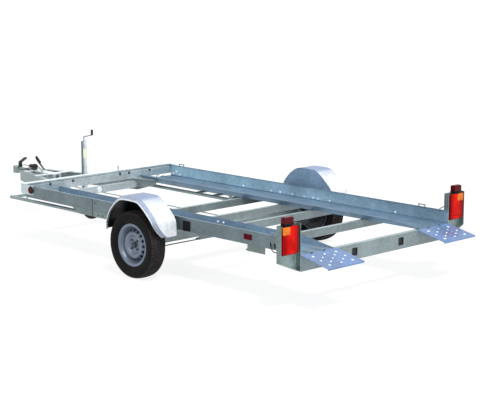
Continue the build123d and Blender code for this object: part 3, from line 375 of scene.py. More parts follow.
class Finish:
    """A material under construction, with short ways to add its nodes."""

    def __init__(self, name):
        self.material = bpy.data.materials.new(FINISH_PREFIX + name)
        self.material.use_nodes = True
        self.tree = self.material.node_tree
        self.shader = self.tree.nodes["Principled BSDF"]
        self.coordinates = self.tree.nodes.new("ShaderNodeTexCoord").outputs["Object"]

    def feed(self, socket, value):
        """Links an output to a socket, or sets the socket to a plain value."""
        if isinstance(value, bpy.types.NodeSocket):
            self.tree.links.new(value, socket)
        else:
            socket.default_value = value

    def add(self, kind, inputs, **settings):
        """A node with its properties set and its inputs fed."""
        node = self.tree.nodes.new(kind)
        for key, value in settings.items():
            setattr(node, key, value)
        for key, value in inputs.items():
            self.feed(node.inputs[key], value)
        return node

    def noise(self, scale, detail=3.0, roughness=0.5, stretch=(1, 1, 1)):
        """Cloudy values on Object coordinates, stretched by a scale for each axis."""
        mapping = self.add("ShaderNodeMapping", {"Scale": stretch, "Vector": self.coordinates})
        vector = mapping.outputs["Vector"]
        inputs = {"Scale": scale, "Detail": detail, "Roughness": roughness, "Vector": vector}
        return self.add("ShaderNodeTexNoise", inputs).outputs["Fac"]

    def crystals(self, scale):
        """A random value for each zinc crystal."""
        cells = self.add("ShaderNodeTexVoronoi", {"Scale": scale, "Vector": self.coordinates})
        return self.add("ShaderNodeSeparateColor", {0: cells.outputs["Color"]}).outputs[0]

    def ranged(self, value, low, high, start=0.0, end=1.0):
        """A value carried from the span start to end to the span low to high, and held there."""
        inputs = {"From Min": start, "From Max": end, "To Min": low, "To Max": high, "Value": value}
        return self.add("ShaderNodeMapRange", inputs).outputs["Result"]

    def math(self, operation, *values):
        """A number worked out from one or two others."""
        return self.add("ShaderNodeMath", dict(enumerate(values)), operation=operation).outputs[0]

    def times(self, first, second):
        return self.math("MULTIPLY", first, second)

    def minus(self, first, second):
        return self.math("SUBTRACT", first, second)

    def above(self, value, level):
        """1 where a value is over a level, and 0 elsewhere."""
        return self.math("GREATER_THAN", value, level)

    def below(self, value, level):
        """1 where a value is under a level, and 0 elsewhere."""
        return self.math("LESS_THAN", value, level)

    def axis(self, name):
        """One object coordinate."""
        return self.add("ShaderNodeSeparateXYZ", {0: self.coordinates}).outputs[name]

    def across(self):
        """Distance from the trailer's middle plane."""
        return self.math("ABSOLUTE", self.axis("Y"))

    def facing(self):
        """The three parts of the true direction that a face points in."""
        normal = self.add("ShaderNodeNewGeometry", {}).outputs["True Normal"]
        return self.add("ShaderNodeSeparateXYZ", {0: normal}).outputs

    def radius(self, centre):
        """Distance from a wheel's axis."""
        reach_x = self.math("POWER", self.minus(self.axis("X"), centre[0]), 2.0)
        reach_z = self.math("POWER", self.minus(self.axis("Z"), centre[2]), 2.0)
        return self.math("SQRT", self.math("ADD", reach_x, reach_z))

    def mixed(self, factor, first, second, blend="MIX"):
        """A mix of two colours, each a colour or an output."""
        inputs = {"Factor": factor, 6: first, 7: second}
        return self.add("ShaderNodeMix", inputs, data_type="RGBA", blend_type=blend).outputs[2]

    def bump(self, height, distance, strength):
        """Fine relief on the shader."""
        inputs = {"Distance": distance, "Strength": strength, "Height": height}
        self.feed(self.shader.inputs["Normal"], self.add("ShaderNodeBump", inputs).outputs["Normal"])

    def set(self, **values):
        """Plain numbers on the shader's own sockets, by name with underscores for spaces."""
        for key, value in values.items():
            self.shader.inputs[key.replace("_", " ")].default_value = value

    def colour(self, output):
        self.feed(self.shader.inputs["Base Color"], output)

    def roughness(self, output):
        self.feed(self.shader.inputs["Roughness"], output)


def finish_named(name):
    """A finish that an operator before this one made."""
    return bpy.data.materials[FINISH_PREFIX + name]


def linear(shown, factor=1.0):
    """A shader colour from a colour as the screen shows it, times a factor."""
    c = np.clip(np.array(shown[:3]) * factor, 0, 1)
    low = c / 12.92
    high = ((c + 0.055) / 1.055) ** 2.4
    return (*np.where(c <= 0.04045, low, high).tolist(), 1.0)


def zinc_surface(finish, base, metallic, specular=0.5):
    """Galvanised look on a colour: crystals, clouds, rain streaks and an uneven gloss."""
    clouds = finish.noise(CLOUD_SCALE, detail=5.0, roughness=0.6)
    streaks = finish.noise(STREAK_SCALE, detail=2.0, stretch=STREAK_STRETCH)
    shade = finish.ranged(finish.crystals(CRYSTAL_SCALE), *CRYSTAL_SHADES)
    cloud_shade = finish.ranged(clouds, *CLOUD_SHADES, *NOISE_SPAN)
    streak_shade = finish.ranged(streaks, *STREAK_SHADES, *NOISE_SPAN)
    total = finish.times(finish.times(shade, cloud_shade), streak_shade)
    grey = finish.add("ShaderNodeCombineColor", {0: total, 1: total, 2: total})
    finish.colour(finish.mixed(1.0, base, grey.outputs[0], "MULTIPLY"))
    finish.roughness(finish.ranged(clouds, *ZINC_ROUGHNESS, *NOISE_SPAN))
    finish.bump(finish.noise(60.0, detail=2.0), 0.0006, 0.25)
    finish.set(Metallic=metallic, Specular_IOR_Level=specular)
    return finish.material


def zinc(name, shown, metallic=0.55, top=1.22, rear=1.0):
    """Galvanised steel with painted light: its level tops and rear faces are lighter by two factors, a
    painted reflection of the sky on the tops and painted sunlight on the rear faces.
    """
    finish = Finish(name)
    normal_x, _, normal_z = finish.facing()
    # Painted light: level tops and rear faces get lighter copies of the colour
    base = finish.mixed(finish.above(normal_z, LEVEL_FACE), linear(shown), linear(shown, top))
    base = finish.mixed(finish.below(normal_x, REAR_FACE), base, linear(shown, rear))
    return zinc_surface(finish, base, metallic)


def mast_zinc(name):
    """Mast tube with painted light: painted shade on the side that turns forward and nearly white painted
    light on the side that turns back.
    """
    finish, c = Finish(name), colours()
    normal_x, normal_y, _ = finish.facing()
    parts = finish.times(normal_x, MAST_BRIGHT_WAY[0]), finish.times(normal_y, MAST_BRIGHT_WAY[1])
    shade = finish.ranged(finish.math("ADD", *parts), 0.0, 1.0, *MAST_SPAN)
    return zinc_surface(finish, finish.mixed(shade, linear(c.mast_shade), linear(c.mast_light)), 0.4)


def track_zinc(name):
    """Galvanised wheel track with painted light: painted shade on its outer face, a painted blue sky
    reflection on the tread and low flanges, and a light sky blue on the walls, painted darker at the rear.
    """
    finish, c = Finish(name), colours()
    low, high = box_of("wheel_track_left")
    # Painted light: shade on the outer face, sky reflection on the tread and low flanges, walls lighter
    # towards the front
    wall = finish.above(finish.across(), high[1] - TRACK_WALL)
    raised = finish.above(finish.axis("Z"), low[2] + TRACK_TREAD)
    outer = finish.above(finish.across(), high[1] - TRACK_SKIN)
    forward = finish.ranged(finish.axis("X"), 0.0, 1.0, low[0], high[0])
    rear_wall, front_wall = (linear(c.zinc_wall_light, shade) for shade in TRACK_WALL_LIGHT)
    wall_colour = finish.mixed(forward, rear_wall, front_wall)
    inside = finish.mixed(finish.times(wall, raised), linear(c.zinc_sky_reflection), wall_colour)
    return zinc_surface(finish, finish.mixed(outer, inside, linear(c.zinc_side_shade)), 0.45)


def lip_zinc(name):
    """Galvanised lip in a painted blue sky reflection, with painted highlights on its dimples.

    A dimple is where the height above the sloping plate is over a mask. Of a lattice of dimples each second
    one gets a painted highlight: that is where the product of two cosines, one along and one across, is
    positive.
    """
    finish, c = Finish(name), colours()
    low, high = box_of("ramp_lip_left")
    middle, pitch = (low + high) / 2, (high - low)[:2] * LIP_PITCH_SHARES
    plate = finish.times(finish.minus(finish.axis("X"), high[0]), lip_slope())
    height = finish.minus(finish.minus(finish.axis("Z"), high[2]), plate)
    along = finish.times(finish.minus(finish.axis("X"), middle[0]), math.pi / pitch[0])
    across = finish.times(finish.minus(finish.across(), middle[1]), math.pi / pitch[1])
    second = finish.times(finish.math("COSINE", along), finish.math("COSINE", across))
    # Painted highlight on each second dimple
    highlit = finish.times(finish.above(height, LIP_DIMPLE_MASK), finish.above(second, 0.0))
    return zinc_surface(finish, finish.mixed(highlit, linear(c.zinc_lip_sky), linear(c.zinc_dimple_highlight)), 0.4)


def fender_zinc(name):
    """Fender with painted light: a painted sky reflection on the crown, nearly white lit slopes, blue-grey
    painted light on the inner wall, and near-black painted shade inside the arch.

    The painted shade lies where a face points back to the wheel's centre, and where a face inside the tyre's
    outer side points outward.
    """
    finish, c = Finish(name), colours()
    low, high = box_of("tyre_left")
    centre = (low + high) / 2
    normal_x, normal_y, normal_z = finish.facing()
    away_x = finish.times(finish.minus(finish.axis("X"), centre[0]), normal_x)
    away_z = finish.times(finish.minus(finish.axis("Z"), centre[2]), normal_z)
    # Painted shade: faces that point back to the wheel's centre go near black
    back = finish.below(finish.math("ADD", away_x, away_z), -0.05)
    outward = finish.times(finish.math("SIGN", finish.axis("Y")), normal_y)
    # Painted shade also on the faces that point outward inside the tyre's outer side
    tyre_side_shade = finish.times(finish.above(outward, SIDE_FACE), finish.below(finish.across(), high[1]))
    level = finish.ranged(normal_z, 0.0, 1.0, *CROWN_SPAN)
    shoulder = finish.times(
        finish.above(outward, SHOULDER_SPAN[0]), finish.below(outward, SHOULDER_SPAN[1])
    )
    edge = finish.above(finish.across(), box_of("fender_left")[1][1] - FENDER_EDGE_BAND)
    # Painted light: sky reflection on the crown, grey shoulders, a light edge and a blue-grey wall over the
    # nearly white slopes
    base = finish.mixed(level, linear(c.fender), linear(c.fender_crown))
    base = finish.mixed(shoulder, base, linear(c.fender_shoulder))
    base = finish.mixed(edge, base, linear(c.fender_lit_edge))
    base = finish.mixed(finish.below(outward, -SIDE_FACE), base, linear(c.fender_wall))
    base = finish.mixed(finish.math("MAXIMUM", back, tyre_side_shade), base, linear(c.arch_shade))
    return zinc_surface(finish, base, 0.2, 0.35)


def rubber(name, dust, tyre=None):
    """Rubber with dust in clouds; on a tyre the dust lies on the tread only."""
    finish, c = Finish(name), colours()
    clouds = finish.noise(18.0, detail=4.0)
    factor = finish.ranged(clouds, dust * 0.3, dust, 0.35, 0.75)
    if tyre:
        low, high = box_of(tyre)
        crown = (high[2] - low[2]) / 2
        factor = finish.times(factor, finish.above(finish.radius((low + high) / 2), crown - TREAD_BAND))
    finish.colour(finish.mixed(factor, linear(c.rubber), linear(c.dust)))
    finish.roughness(finish.ranged(clouds, 0.6, 0.85))
    finish.bump(finish.noise(240.0, detail=2.0), 0.0006, 0.3)
    finish.set(Specular_IOR_Level=0.18)
    return finish.material


def plastic(name, shown, roughness=0.5):
    """Moulded plastic with a fine grain."""
    finish = Finish(name)
    grain = finish.noise(140.0)
    finish.colour(finish.mixed(finish.ranged(grain, 0.0, 0.5), linear(shown), linear(shown, 1.25)))
    finish.roughness(finish.ranged(grain, roughness * 0.85, roughness * 1.15))
    finish.bump(grain, 0.0004, 0.2)
    return finish.material


def paint(name, shown, metallic=0.6, roughness=0.34):
    """Sprayed silver paint with a faint sparkle and dust in places."""
    finish = Finish(name)
    sparkle = finish.noise(420.0, detail=1.0)
    dust = finish.noise(14.0, detail=4.0)
    base = finish.mixed(finish.ranged(sparkle, 0.0, 0.3), linear(shown), linear(shown, 1.2))
    finish.colour(finish.mixed(finish.ranged(dust, 0.0, 0.35, 0.45, 0.75), base, linear(shown, 0.72)))
    finish.roughness(finish.ranged(dust, roughness, roughness + 0.15))
    finish.set(Metallic=metallic)
    return finish.material


def lens(name, shown, glow=None, span=None):
    """Ribbed lamp lens: a deep colour under fine ridges, with a painted highlight down the middle of a span
    across.
    """
    finish = Finish(name)
    inputs = {"Scale": 2 * math.pi / sizes().lens_ridge / WAVE_RADIANS, "Vector": finish.coordinates}
    wave = finish.add("ShaderNodeTexWave", inputs, wave_type="BANDS", bands_direction="Y")
    depth = finish.noise(35.0, detail=2.0)
    base = finish.mixed(finish.ranged(depth, 0.0, 0.6, 0.35, 0.7), linear(shown), linear(shown, 0.72))
    # Painted highlight down the middle of the span
    if glow:
        middle, half = (span[0] + span[1]) / 2, (span[1] - span[0]) / 2
        from_middle = finish.math("ABSOLUTE", finish.minus(finish.across(), middle))
        base = finish.mixed(finish.ranged(from_middle, 1.0, 0.0, half * 0.1, half * 0.7), base, linear(glow))
    finish.colour(base)
    finish.bump(wave.outputs["Fac"], 0.0015, 0.5)
    finish.set(Roughness=0.35, Specular_IOR_Level=0.05)
    return finish.material


def two_coloured(name, lower, upper, level, lower_rough=0.4, upper_rough=0.5):
    """Two moulded colours in one node: the upper one lies above a level."""
    finish = Finish(name)
    raised = finish.above(finish.axis("Z"), level)
    grain = finish.noise(90.0)
    base = finish.mixed(raised, linear(lower), linear(upper))
    finish.colour(finish.mixed(finish.ranged(grain, 0.0, 0.3), base, linear(lower, 0.8)))
    finish.roughness(finish.ranged(raised, lower_rough, upper_rough))
    finish.set(Specular_IOR_Level=0.12)
    return finish.material


# Operators


class FinishFrame(bpy.types.Operator):
    """Gives every CAD node its finish"""

    bl_idname = "trailer.finish_frame"
    bl_label = "Finish the frame"

    def execute(self, context):
        c = colours()
        # Span across the tail lamps' red lenses, down whose middle a highlight is painted
        lens_span = box_of("wheel_track_left")[1][1], box_of("tail_lamps")[1][1]
        finishes = {
            "galvanised_steel": zinc("galvanised_steel", c.zinc),
            "fender_zinc": zinc("fender_zinc", c.fender, metallic=0.35),
            "cast_coupling": zinc("cast_coupling", c.cast),
            "rim_silver": paint("rim_silver", c.rim),
            "hub_steel": paint("hub_steel", c.hub, metallic=0.5, roughness=0.45),
            "tyre_rubber": rubber("tyre_rubber", 0.9, "tyre_left"),
            "black_rubber": rubber("black_rubber", 0.1),
            "black_plastic": plastic("black_plastic", c.plastic),
            "lens_red": lens("lens_red", c.lens_red, c.lens_highlight, lens_span),
            "marker_red": lens("marker_red", c.marker_red),
            "marker_brown": lens("marker_brown", c.marker_brown),
        }
        for row in frame["record"]["subparts"]:
            self.dress(finishes[row["material_slot"]], row["node"])
        # Bolts and studs near white: painted highlight
        zinc("bolt_highlight_zinc", c.zinc_bolt_highlight, metallic=0.3)
        # Lighter and darker copies of the zinc: painted light with lighter tops, and painted shade with
        # painted sunlight on the rear faces
        bright, dull = zinc("lit_zinc", c.zinc_lit, top=1.3), zinc("shaded_zinc", c.zinc_shade, rear=1.35)
        self.dress(bright, "front_crossbar", "front_member", "crossbar_ends", "mast_clamp")
        self.dress(dull, "lamp_carriers", "side_aprons", "member_feet")
        self.dress(track_zinc("track_zinc"), "wheel_track_left", "wheel_track_right")
        self.dress(lip_zinc("lip_zinc"), "ramp_lip_left", "ramp_lip_right")
        self.dress(fender_zinc("fender_faces"), "fender_left", "fender_right")
        self.dress(mast_zinc("mast_zinc"), "mast_tube")
        self.dress(zinc("weathered_cast", c.head, metallic=0.4), "coupling_head")
        level = box_of("marker_lamps")[0][2] + MARKER_FOOT
        self.dress(two_coloured("marker_lamp", c.plastic, c.marker_red, level, 0.5, 0.2), "marker_lamps")
        level = box_of("hand_brake")[1][2] - BRAKE_GRIP
        self.dress(two_coloured("brake_lever", c.lever, c.plastic, level), "hand_brake")
        level = box_of("mast_crank")[1][2] - CRANK_GRIP
        self.dress(two_coloured("crank_and_grip", c.zinc, c.plastic, level), "mast_crank")
        return {"FINISHED"}

    @staticmethod
    def dress(material, *names):
        """Gives one finish to some nodes."""
        for name in names:
            NODES[name].data.materials.clear()
            NODES[name].data.materials.append(material)


# Tyre: rise of the crown over the widest place, shoulders over the width, radius and place across of the
# bead, rise of the bead and place across of the wall's foot, and radius, height and spread of the raised ring
TYRE_CROWN_RISE, TYRE_SHOULDER_SHARE = 0.052, 0.16
TYRE_BEAD = (0.1655, 0.0505)
TYRE_BEAD_RISE, TYRE_FOOT_ACROSS = 0.018, 0.056
TYRE_RING_RADIUS, TYRE_RING_HEIGHT, TYRE_RING_SPREAD = 0.222, 0.0022, 0.004

# Liner of the tyre from the bead to the crown: places across, and depths of the last two under the crown
LINER_ACROSS, LINER_DEPTHS = (0.040, 0.062, 0.045), (0.030, 0.019)

# Tread: steps round, middles of the grooves, reach of the ribs, and steps from one cross cut to the next
TYRE_STEPS = 264
GROOVE_MIDDLES, RIB_REACH = (-0.043, -0.0145, 0.0145, 0.043), 0.047
GROOVE_FALL = 1.35  # a groove's full depth ends where this less the share of its half width is 1
SHOULDER_CUT_STEPS, RIB_CUT_STEPS, RIB_CUT_SLANT = 4, 6, 90
TREAD_SINE = 0.35  # sine of t, as in the section's formula, over which the tread is cut


class BuildTyres(bpy.types.Operator):
    """Road tyres with round shoulders, four grooves and cross cuts"""

    bl_idname = "trailer.build_tyres"
    bl_label = "Build the tyres"

    def execute(self, context):
        material = finish_named("tyre_rubber")
        for side, _ in SIDES:
            low, high = box_of("tyre_" + side)
            centre, crown, half = (low + high) / 2, (high[2] - low[2]) / 2, (high[1] - low[1]) / 2
            radii, across, tread = self.section(crown, half)
            radii = radii[:, None] - self.cuts(across) * tread[:, None]
            tyre = carried_round(centre, radii, centre[1] + across, TYRE_STEPS)
            made = piece("road_tyre_" + side, [tyre], material, 50.0)
            place(made, "wheel_" + side, "tyre_rubber", "tyre_" + side)
        return {"FINISHED"}

    @staticmethod
    def section(crown, half):
        """Radii and places across of the closed section, and 1 where its tread lies.

        Seen across the tyre, t runs from the outer to the inner wall. The place across is the half width
        times a power of cos t with its sign, and the radius rises from the widest place to the crown with a
        power of sin t. Walls that lean in by a power of their depth lead down to the beads, one of them with
        a raised ring in the form of a bell curve, and a liner closes the section.
        """
        widest, (bead, bead_across) = crown - TYRE_CROWN_RISE, TYRE_BEAD
        shoulder = TYRE_SHOULDER_SHARE
        t = np.pi * np.concatenate([
            np.linspace(0, shoulder, 6, endpoint=False),
            np.linspace(shoulder, 1 - shoulder, 60, endpoint=False),
            np.linspace(1 - shoulder, 1, 7),
        ])
        oval_across = half * np.sign(np.cos(t)) * np.abs(np.cos(t)) ** 0.85
        oval_radius = widest + TYRE_CROWN_RISE * np.sin(t) ** 0.32
        rise = np.linspace(0, 1, 9, endpoint=False)
        wall_foot = bead + TYRE_BEAD_RISE
        wall_radius = wall_foot + (widest - wall_foot) * rise
        wall_across = half - (half - TYRE_FOOT_ACROSS) * (1 - rise) ** 2.2
        ring = TYRE_RING_HEIGHT * np.exp(-((wall_radius - TYRE_RING_RADIUS) / TYRE_RING_SPREAD) ** 2)
        liner_radius = np.array([bead, *(crown - depth for depth in LINER_DEPTHS)])
        liner_across = np.array(LINER_ACROSS)
        radii = np.concatenate([
            [bead], wall_radius, oval_radius, wall_radius[::-1], [bead], liner_radius, liner_radius[::-1],
        ])
        across = np.concatenate([
            [bead_across], wall_across + ring, oval_across, -wall_across[::-1], [-bead_across],
            -liner_across, liner_across[::-1],
        ])
        before, after = 1 + len(rise), len(rise) + 1 + 2 * len(liner_radius)
        tread = np.concatenate([np.zeros(before), (np.sin(t) > TREAD_SINE).astype(float), np.zeros(after)])
        return radii, np.clip(across, -half, half), tread

    @staticmethod
    def cuts(across):
        """Depth of the grooves and cross cuts, for each place across and each step round.

        A groove's depth falls off beside its middle. On the shoulders every few steps are cut straight, and
        on the ribs the cut steps shift with the place across.
        """
        s = sizes()
        groove = np.zeros_like(across)
        for middle in GROOVE_MIDDLES:
            beside = np.abs(across - middle) / (s.groove_width / 2)
            groove = np.maximum(groove, np.clip(GROOVE_FALL - beside, 0, 1))
        step = np.arange(TYRE_STEPS)[None, :]
        slant = np.round(np.abs(across) * RIB_CUT_SLANT)[:, None]
        on_rib = np.abs(across)[:, None] <= RIB_REACH
        cut = np.where(on_rib, (step + slant) % RIB_CUT_STEPS == 0, (step + 1) % SHOULDER_CUT_STEPS == 0)
        return np.maximum(groove[:, None] * s.groove_depth, cut * s.sipe_depth)


# Fender: folds as places ahead of the axle and heights, from the rear foot to the front foot, inner and outer
# face across, shares at which the folds' corners are cut, and how far the rear lower corner is drawn in
FENDER_FOLDS = (
    (-0.332, 0.388), (-0.332, 0.528), (-0.188, 0.655), (-0.108, 0.703), (0.118, 0.703),
    (0.212, 0.645), (0.290, 0.562), (0.334, 0.460), (0.334, 0.388),
)
FENDER_ACROSS = (0.955, 1.192)
FENDER_CUT_SHARES = (0.17, 0.25, 0.25, 0.25)
FENDER_CORNER, FENDER_CORNER_POWER = 0.10, 1.7

# Fender's section: sheet, width of the shoulder and shift of its inner bend, and the turned edge as
# distances in from the outer face and depths. The bead has a radius, a depth of its middle and sides
FENDER_SHEET, FENDER_SHOULDER, SHOULDER_BEND = 0.003, 0.034, 0.002
FENDER_EDGE = (
    (0.002, 0.0235), (0.0, 0.026), (0.0, 0.034), (0.003, 0.037), (0.010, 0.037), (0.013, 0.034),
    (0.013, 0.0225),
)
BEAD_RADIUS, BEAD_DEPTH, BEAD_SIDES = 0.0075, 0.030, 10

# Wall and stays of the fender: depth of their feet under the track's top, the wall's overlap with the crown
# and steps along; the stays' sheet, their lap behind the wall, reach from the axle and half width
WALL_FOOT, WALL_LAP, WALL_STEPS = 0.060, 0.001, 90
STAY_SHEET, STAY_LAP, STAY_REACH, STAY_HALF = 0.005, 0.001, 0.230, 0.025


class BuildFenders(bpy.types.Operator):
    """Fenders with rounded folds, a beaded edge, an inner wall and two stays"""

    bl_idname = "trailer.build_fenders"
    bl_label = "Build the fenders"

    def execute(self, context):
        finish, line = finish_named("fender_faces"), self.crown()
        parts = [self.skin(line), self.wall(line), *self.stays()]
        for side, sign in SIDES:
            made = piece("fender_skin_" + side, flipped(parts, sign), finish, 28.0)
            place(made, CHASSIS, "fender_zinc", "fender_" + side)
        # The bead takes the light edge colour: painted light on the rolled edge
        edge = zinc("bead_zinc", colours().fender_lit_edge, 0.2)
        fixed_piece("fender_beads", mirrored([self.bead(line)]), edge, "fender_zinc", smooth_degrees=60.0)
        return {"FINISHED"}

    @staticmethod
    def crown():
        """Line over the wheel as (x, z): each pass cuts the folds' corners by a share of their sides.

        The first pass takes the smallest share, so the faces between the folds stay nearly flat.
        """
        low, high = box_of("tyre_left")
        line = np.array(FENDER_FOLDS) + np.array([(low[0] + high[0]) / 2, 0.0])
        for share in FENDER_CUT_SHARES:
            ends = line[:-1] * (1 - share) + line[1:] * share, line[:-1] * share + line[1:] * (1 - share)
            cut = np.stack(ends, axis=1).reshape(-1, 2)
            line = np.concatenate([line[:1], cut, line[-1:]])
        return line

    @staticmethod
    def outward_of(line):
        """Unit vectors square to the crown line, pointing away from the wheel."""
        way = np.gradient(line, axis=0)
        way /= np.linalg.norm(way, axis=1)[:, None]
        return np.stack([-way[:, 1], way[:, 0]], axis=-1)

    @staticmethod
    def drawn_in(line):
        """How far the outer edge draws in, low at the rear: a power of the height below the first bend."""
        foot, bend = FENDER_FOLDS[0][1], FENDER_FOLDS[1][1]
        share = np.clip((bend - line[:, 1]) / (bend - foot), 0, 1)
        rear = line[:, 0] < line[:, 0].mean()
        return np.where(rear, FENDER_CORNER * share ** FENDER_CORNER_POWER, 0.0)

    def bead(self, line):
        """Round edge: a tube that follows the outer edge of the skin."""
        flat = line - BEAD_DEPTH * self.outward_of(line)
        across = FENDER_ACROSS[1] - BEAD_RADIUS - self.drawn_in(line)
        return tube(np.column_stack([flat[:, 0], across, flat[:, 1]]), BEAD_RADIUS, BEAD_SIDES)

    def skin(self, line):
        """A section of places across and depths under the crown, carried along it and square to it."""
        inner, outer = FENDER_ACROSS
        shoulder = outer - FENDER_SHOULDER
        section = np.array([
            (inner, 0.0), (shoulder, 0.0), *((outer - inset, depth) for inset, depth in FENDER_EDGE),
            (shoulder - SHOULDER_BEND, FENDER_SHEET), (inner, FENDER_SHEET),
        ])
        share = np.clip((section[:, 0] - inner) / (shoulder - inner), 0, 1)
        across = section[None, :, 0] - self.drawn_in(line)[:, None] * share[None]
        flat = line[:, None] - section[None, :, 1:] * self.outward_of(line)[:, None]
        points = np.stack([flat[..., 0], across, flat[..., 1]], axis=-1)
        return surface(points, wrap_columns=True, caps=True)

    @staticmethod
    def wall(line):
        """Inner wall: for each place along, a thin upright strip from its foot to the crown."""
        x = np.linspace(line[0, 0] + FENDER_SHEET / 2, line[-1, 0] - FENDER_SHEET / 2, WALL_STEPS)
        top = np.interp(x, line[:, 0], line[:, 1]) - WALL_LAP
        foot = np.full_like(x, box_of("wheel_track_left")[1][2] - WALL_FOOT)
        inner, outer = FENDER_ACROSS[0], FENDER_ACROSS[0] + FENDER_SHEET
        ring = ((inner, top), (inner, foot), (outer, foot), (outer, top))
        points = np.stack([np.stack([x, np.full_like(x, y), z], axis=-1) for y, z in ring], axis=1)
        return surface(points, wrap_columns=True, caps=True)

    @staticmethod
    def stays():
        """Bent plates between the track and the wall: an angle section of two rows."""
        _, side, top = box_of("wheel_track_left")[1]
        low, back = top - WALL_FOOT, FENDER_ACROSS[0] + STAY_LAP
        outline = np.array([
            (side, low - STAY_SHEET), (back, low - STAY_SHEET), (back, top), (back - STAY_SHEET, top),
            (back - STAY_SHEET, low), (side, low),
        ])
        tyre_low, tyre_high = box_of("tyre_left")
        made = []
        for reach in (-STAY_REACH, STAY_REACH):
            x = (tyre_low[0] + tyre_high[0]) / 2 + reach
            rows = [
                np.column_stack([np.full(len(outline), x + step), outline])
                for step in (-STAY_HALF, STAY_HALF)
            ]
            made.append(surface(np.stack(rows), wrap_columns=True, caps=True))
        return made


# Dust shield's section as radii and places across: the neck's from the back plate, the dish's from the rim
SHIELD_NECK = ((0.108, 0.002), (0.104, 0.002), (0.104, -0.002), (0.110, 0.0))
SHIELD_DISH = (
    (0.1105, -0.014), (0.1125, -0.010), (0.166, -0.010), (0.168, -0.013), (0.1695, -0.013), (0.1695, -0.0075),
    (0.109, -0.0075),
)

# Window covers: place across, depth in the crossbar, half size and corner, and steps of a height and an inset
COVER_ACROSS, COVER_DEPTH, COVER_HALF, COVER_CORNER = 0.285, 0.012, 0.0328, 0.003
COVER_STEPS = ((-0.004, 0.002), (0.0, 0.0), (0.009, 0.0), (0.0102, 0.0012), (0.0102, 0.004), (0.004, 0.006))


class BuildGuards(bpy.types.Operator):
    """Dust shields behind the wheels and covers in the rear crossbar's windows, both near black with painted
    shade
    """

    bl_idname = "trailer.build_guards"
    bl_label = "Build the guards"

    def execute(self, context):
        low, high = box_of("tyre_left")
        # Painted shade: shields and covers take the near-black shade of the fender arches, which darkens the
        # rims' insides and the windows
        shade = plastic("shield_shade", colours().arch_shade, 0.6)
        plate, rim = box_of("brake_backplates")[1][1], box_of("wheel_rim_left")[0][1]
        section = [(radius, plate + across) for radius, across in SHIELD_NECK]
        section += [(radius, rim + across) for radius, across in SHIELD_DISH]
        shields = mirrored([turned((low + high) / 2, section)])
        fixed_piece("dust_shields", shields, shade, "hub_steel", smooth_degrees=30.0)

        low, high = box_of("rear_crossbar")
        x, z = low[0] + COVER_DEPTH, (low[2] + high[2]) / 2
        covers = [
            cushion_block((x, y, z), (-1, 0, 0), COVER_HALF, COVER_HALF, COVER_CORNER, COVER_STEPS)
            for y in (COVER_ACROSS, -COVER_ACROSS)
        ]
        fixed_piece("window_covers", covers, shade, "black_plastic")
        return {"FINISHED"}


# Tail lamp: gap from the track's side, margin of the lenses, corner of tray and red lens, and each block's
# steps of a height and an inset; the tray's are counted from its back and from its front
LAMP_GAP, LENS_MARGIN, LAMP_CORNER = 0.019, 0.006, 0.012
TRAY_BACK_STEPS = ((0.0, 0.003), (0.004, 0.0))
TRAY_FRONT_STEPS = ((-0.016, 0.0), (-0.012, 0.002), (-0.012, 0.006))
RED_STEPS = ((-0.020, 0.0), (-0.007, 0.0), (-0.003, 0.002), (-0.001, 0.007))
AMBER_STEPS = ((-0.012, 0.0), (-0.004, 0.0), (-0.0008, 0.0015), (0.0, 0.004))

# Amber lens: half sizes over the lamp's, drop under the lamp's top, and corner
AMBER_SHARES, AMBER_DROP, AMBER_CORNER = (0.44, 0.27), 0.007, 0.010

# Reflector: corners as shares of the lamp's half sizes across and up, round corner and its share towards the
# middle, and steps of a depth under its face and an inset
REFLECTOR_SHARES = ((0.72, -0.70), (-0.62, -0.70), (0.05, 0.28))
REFLECTOR_CORNER, REFLECTOR_CORNER_SHARE = 0.007, 0.16
REFLECTOR_STEPS = ((0.006, 0.0), (0.001, 0.0), (0.0, 0.004))


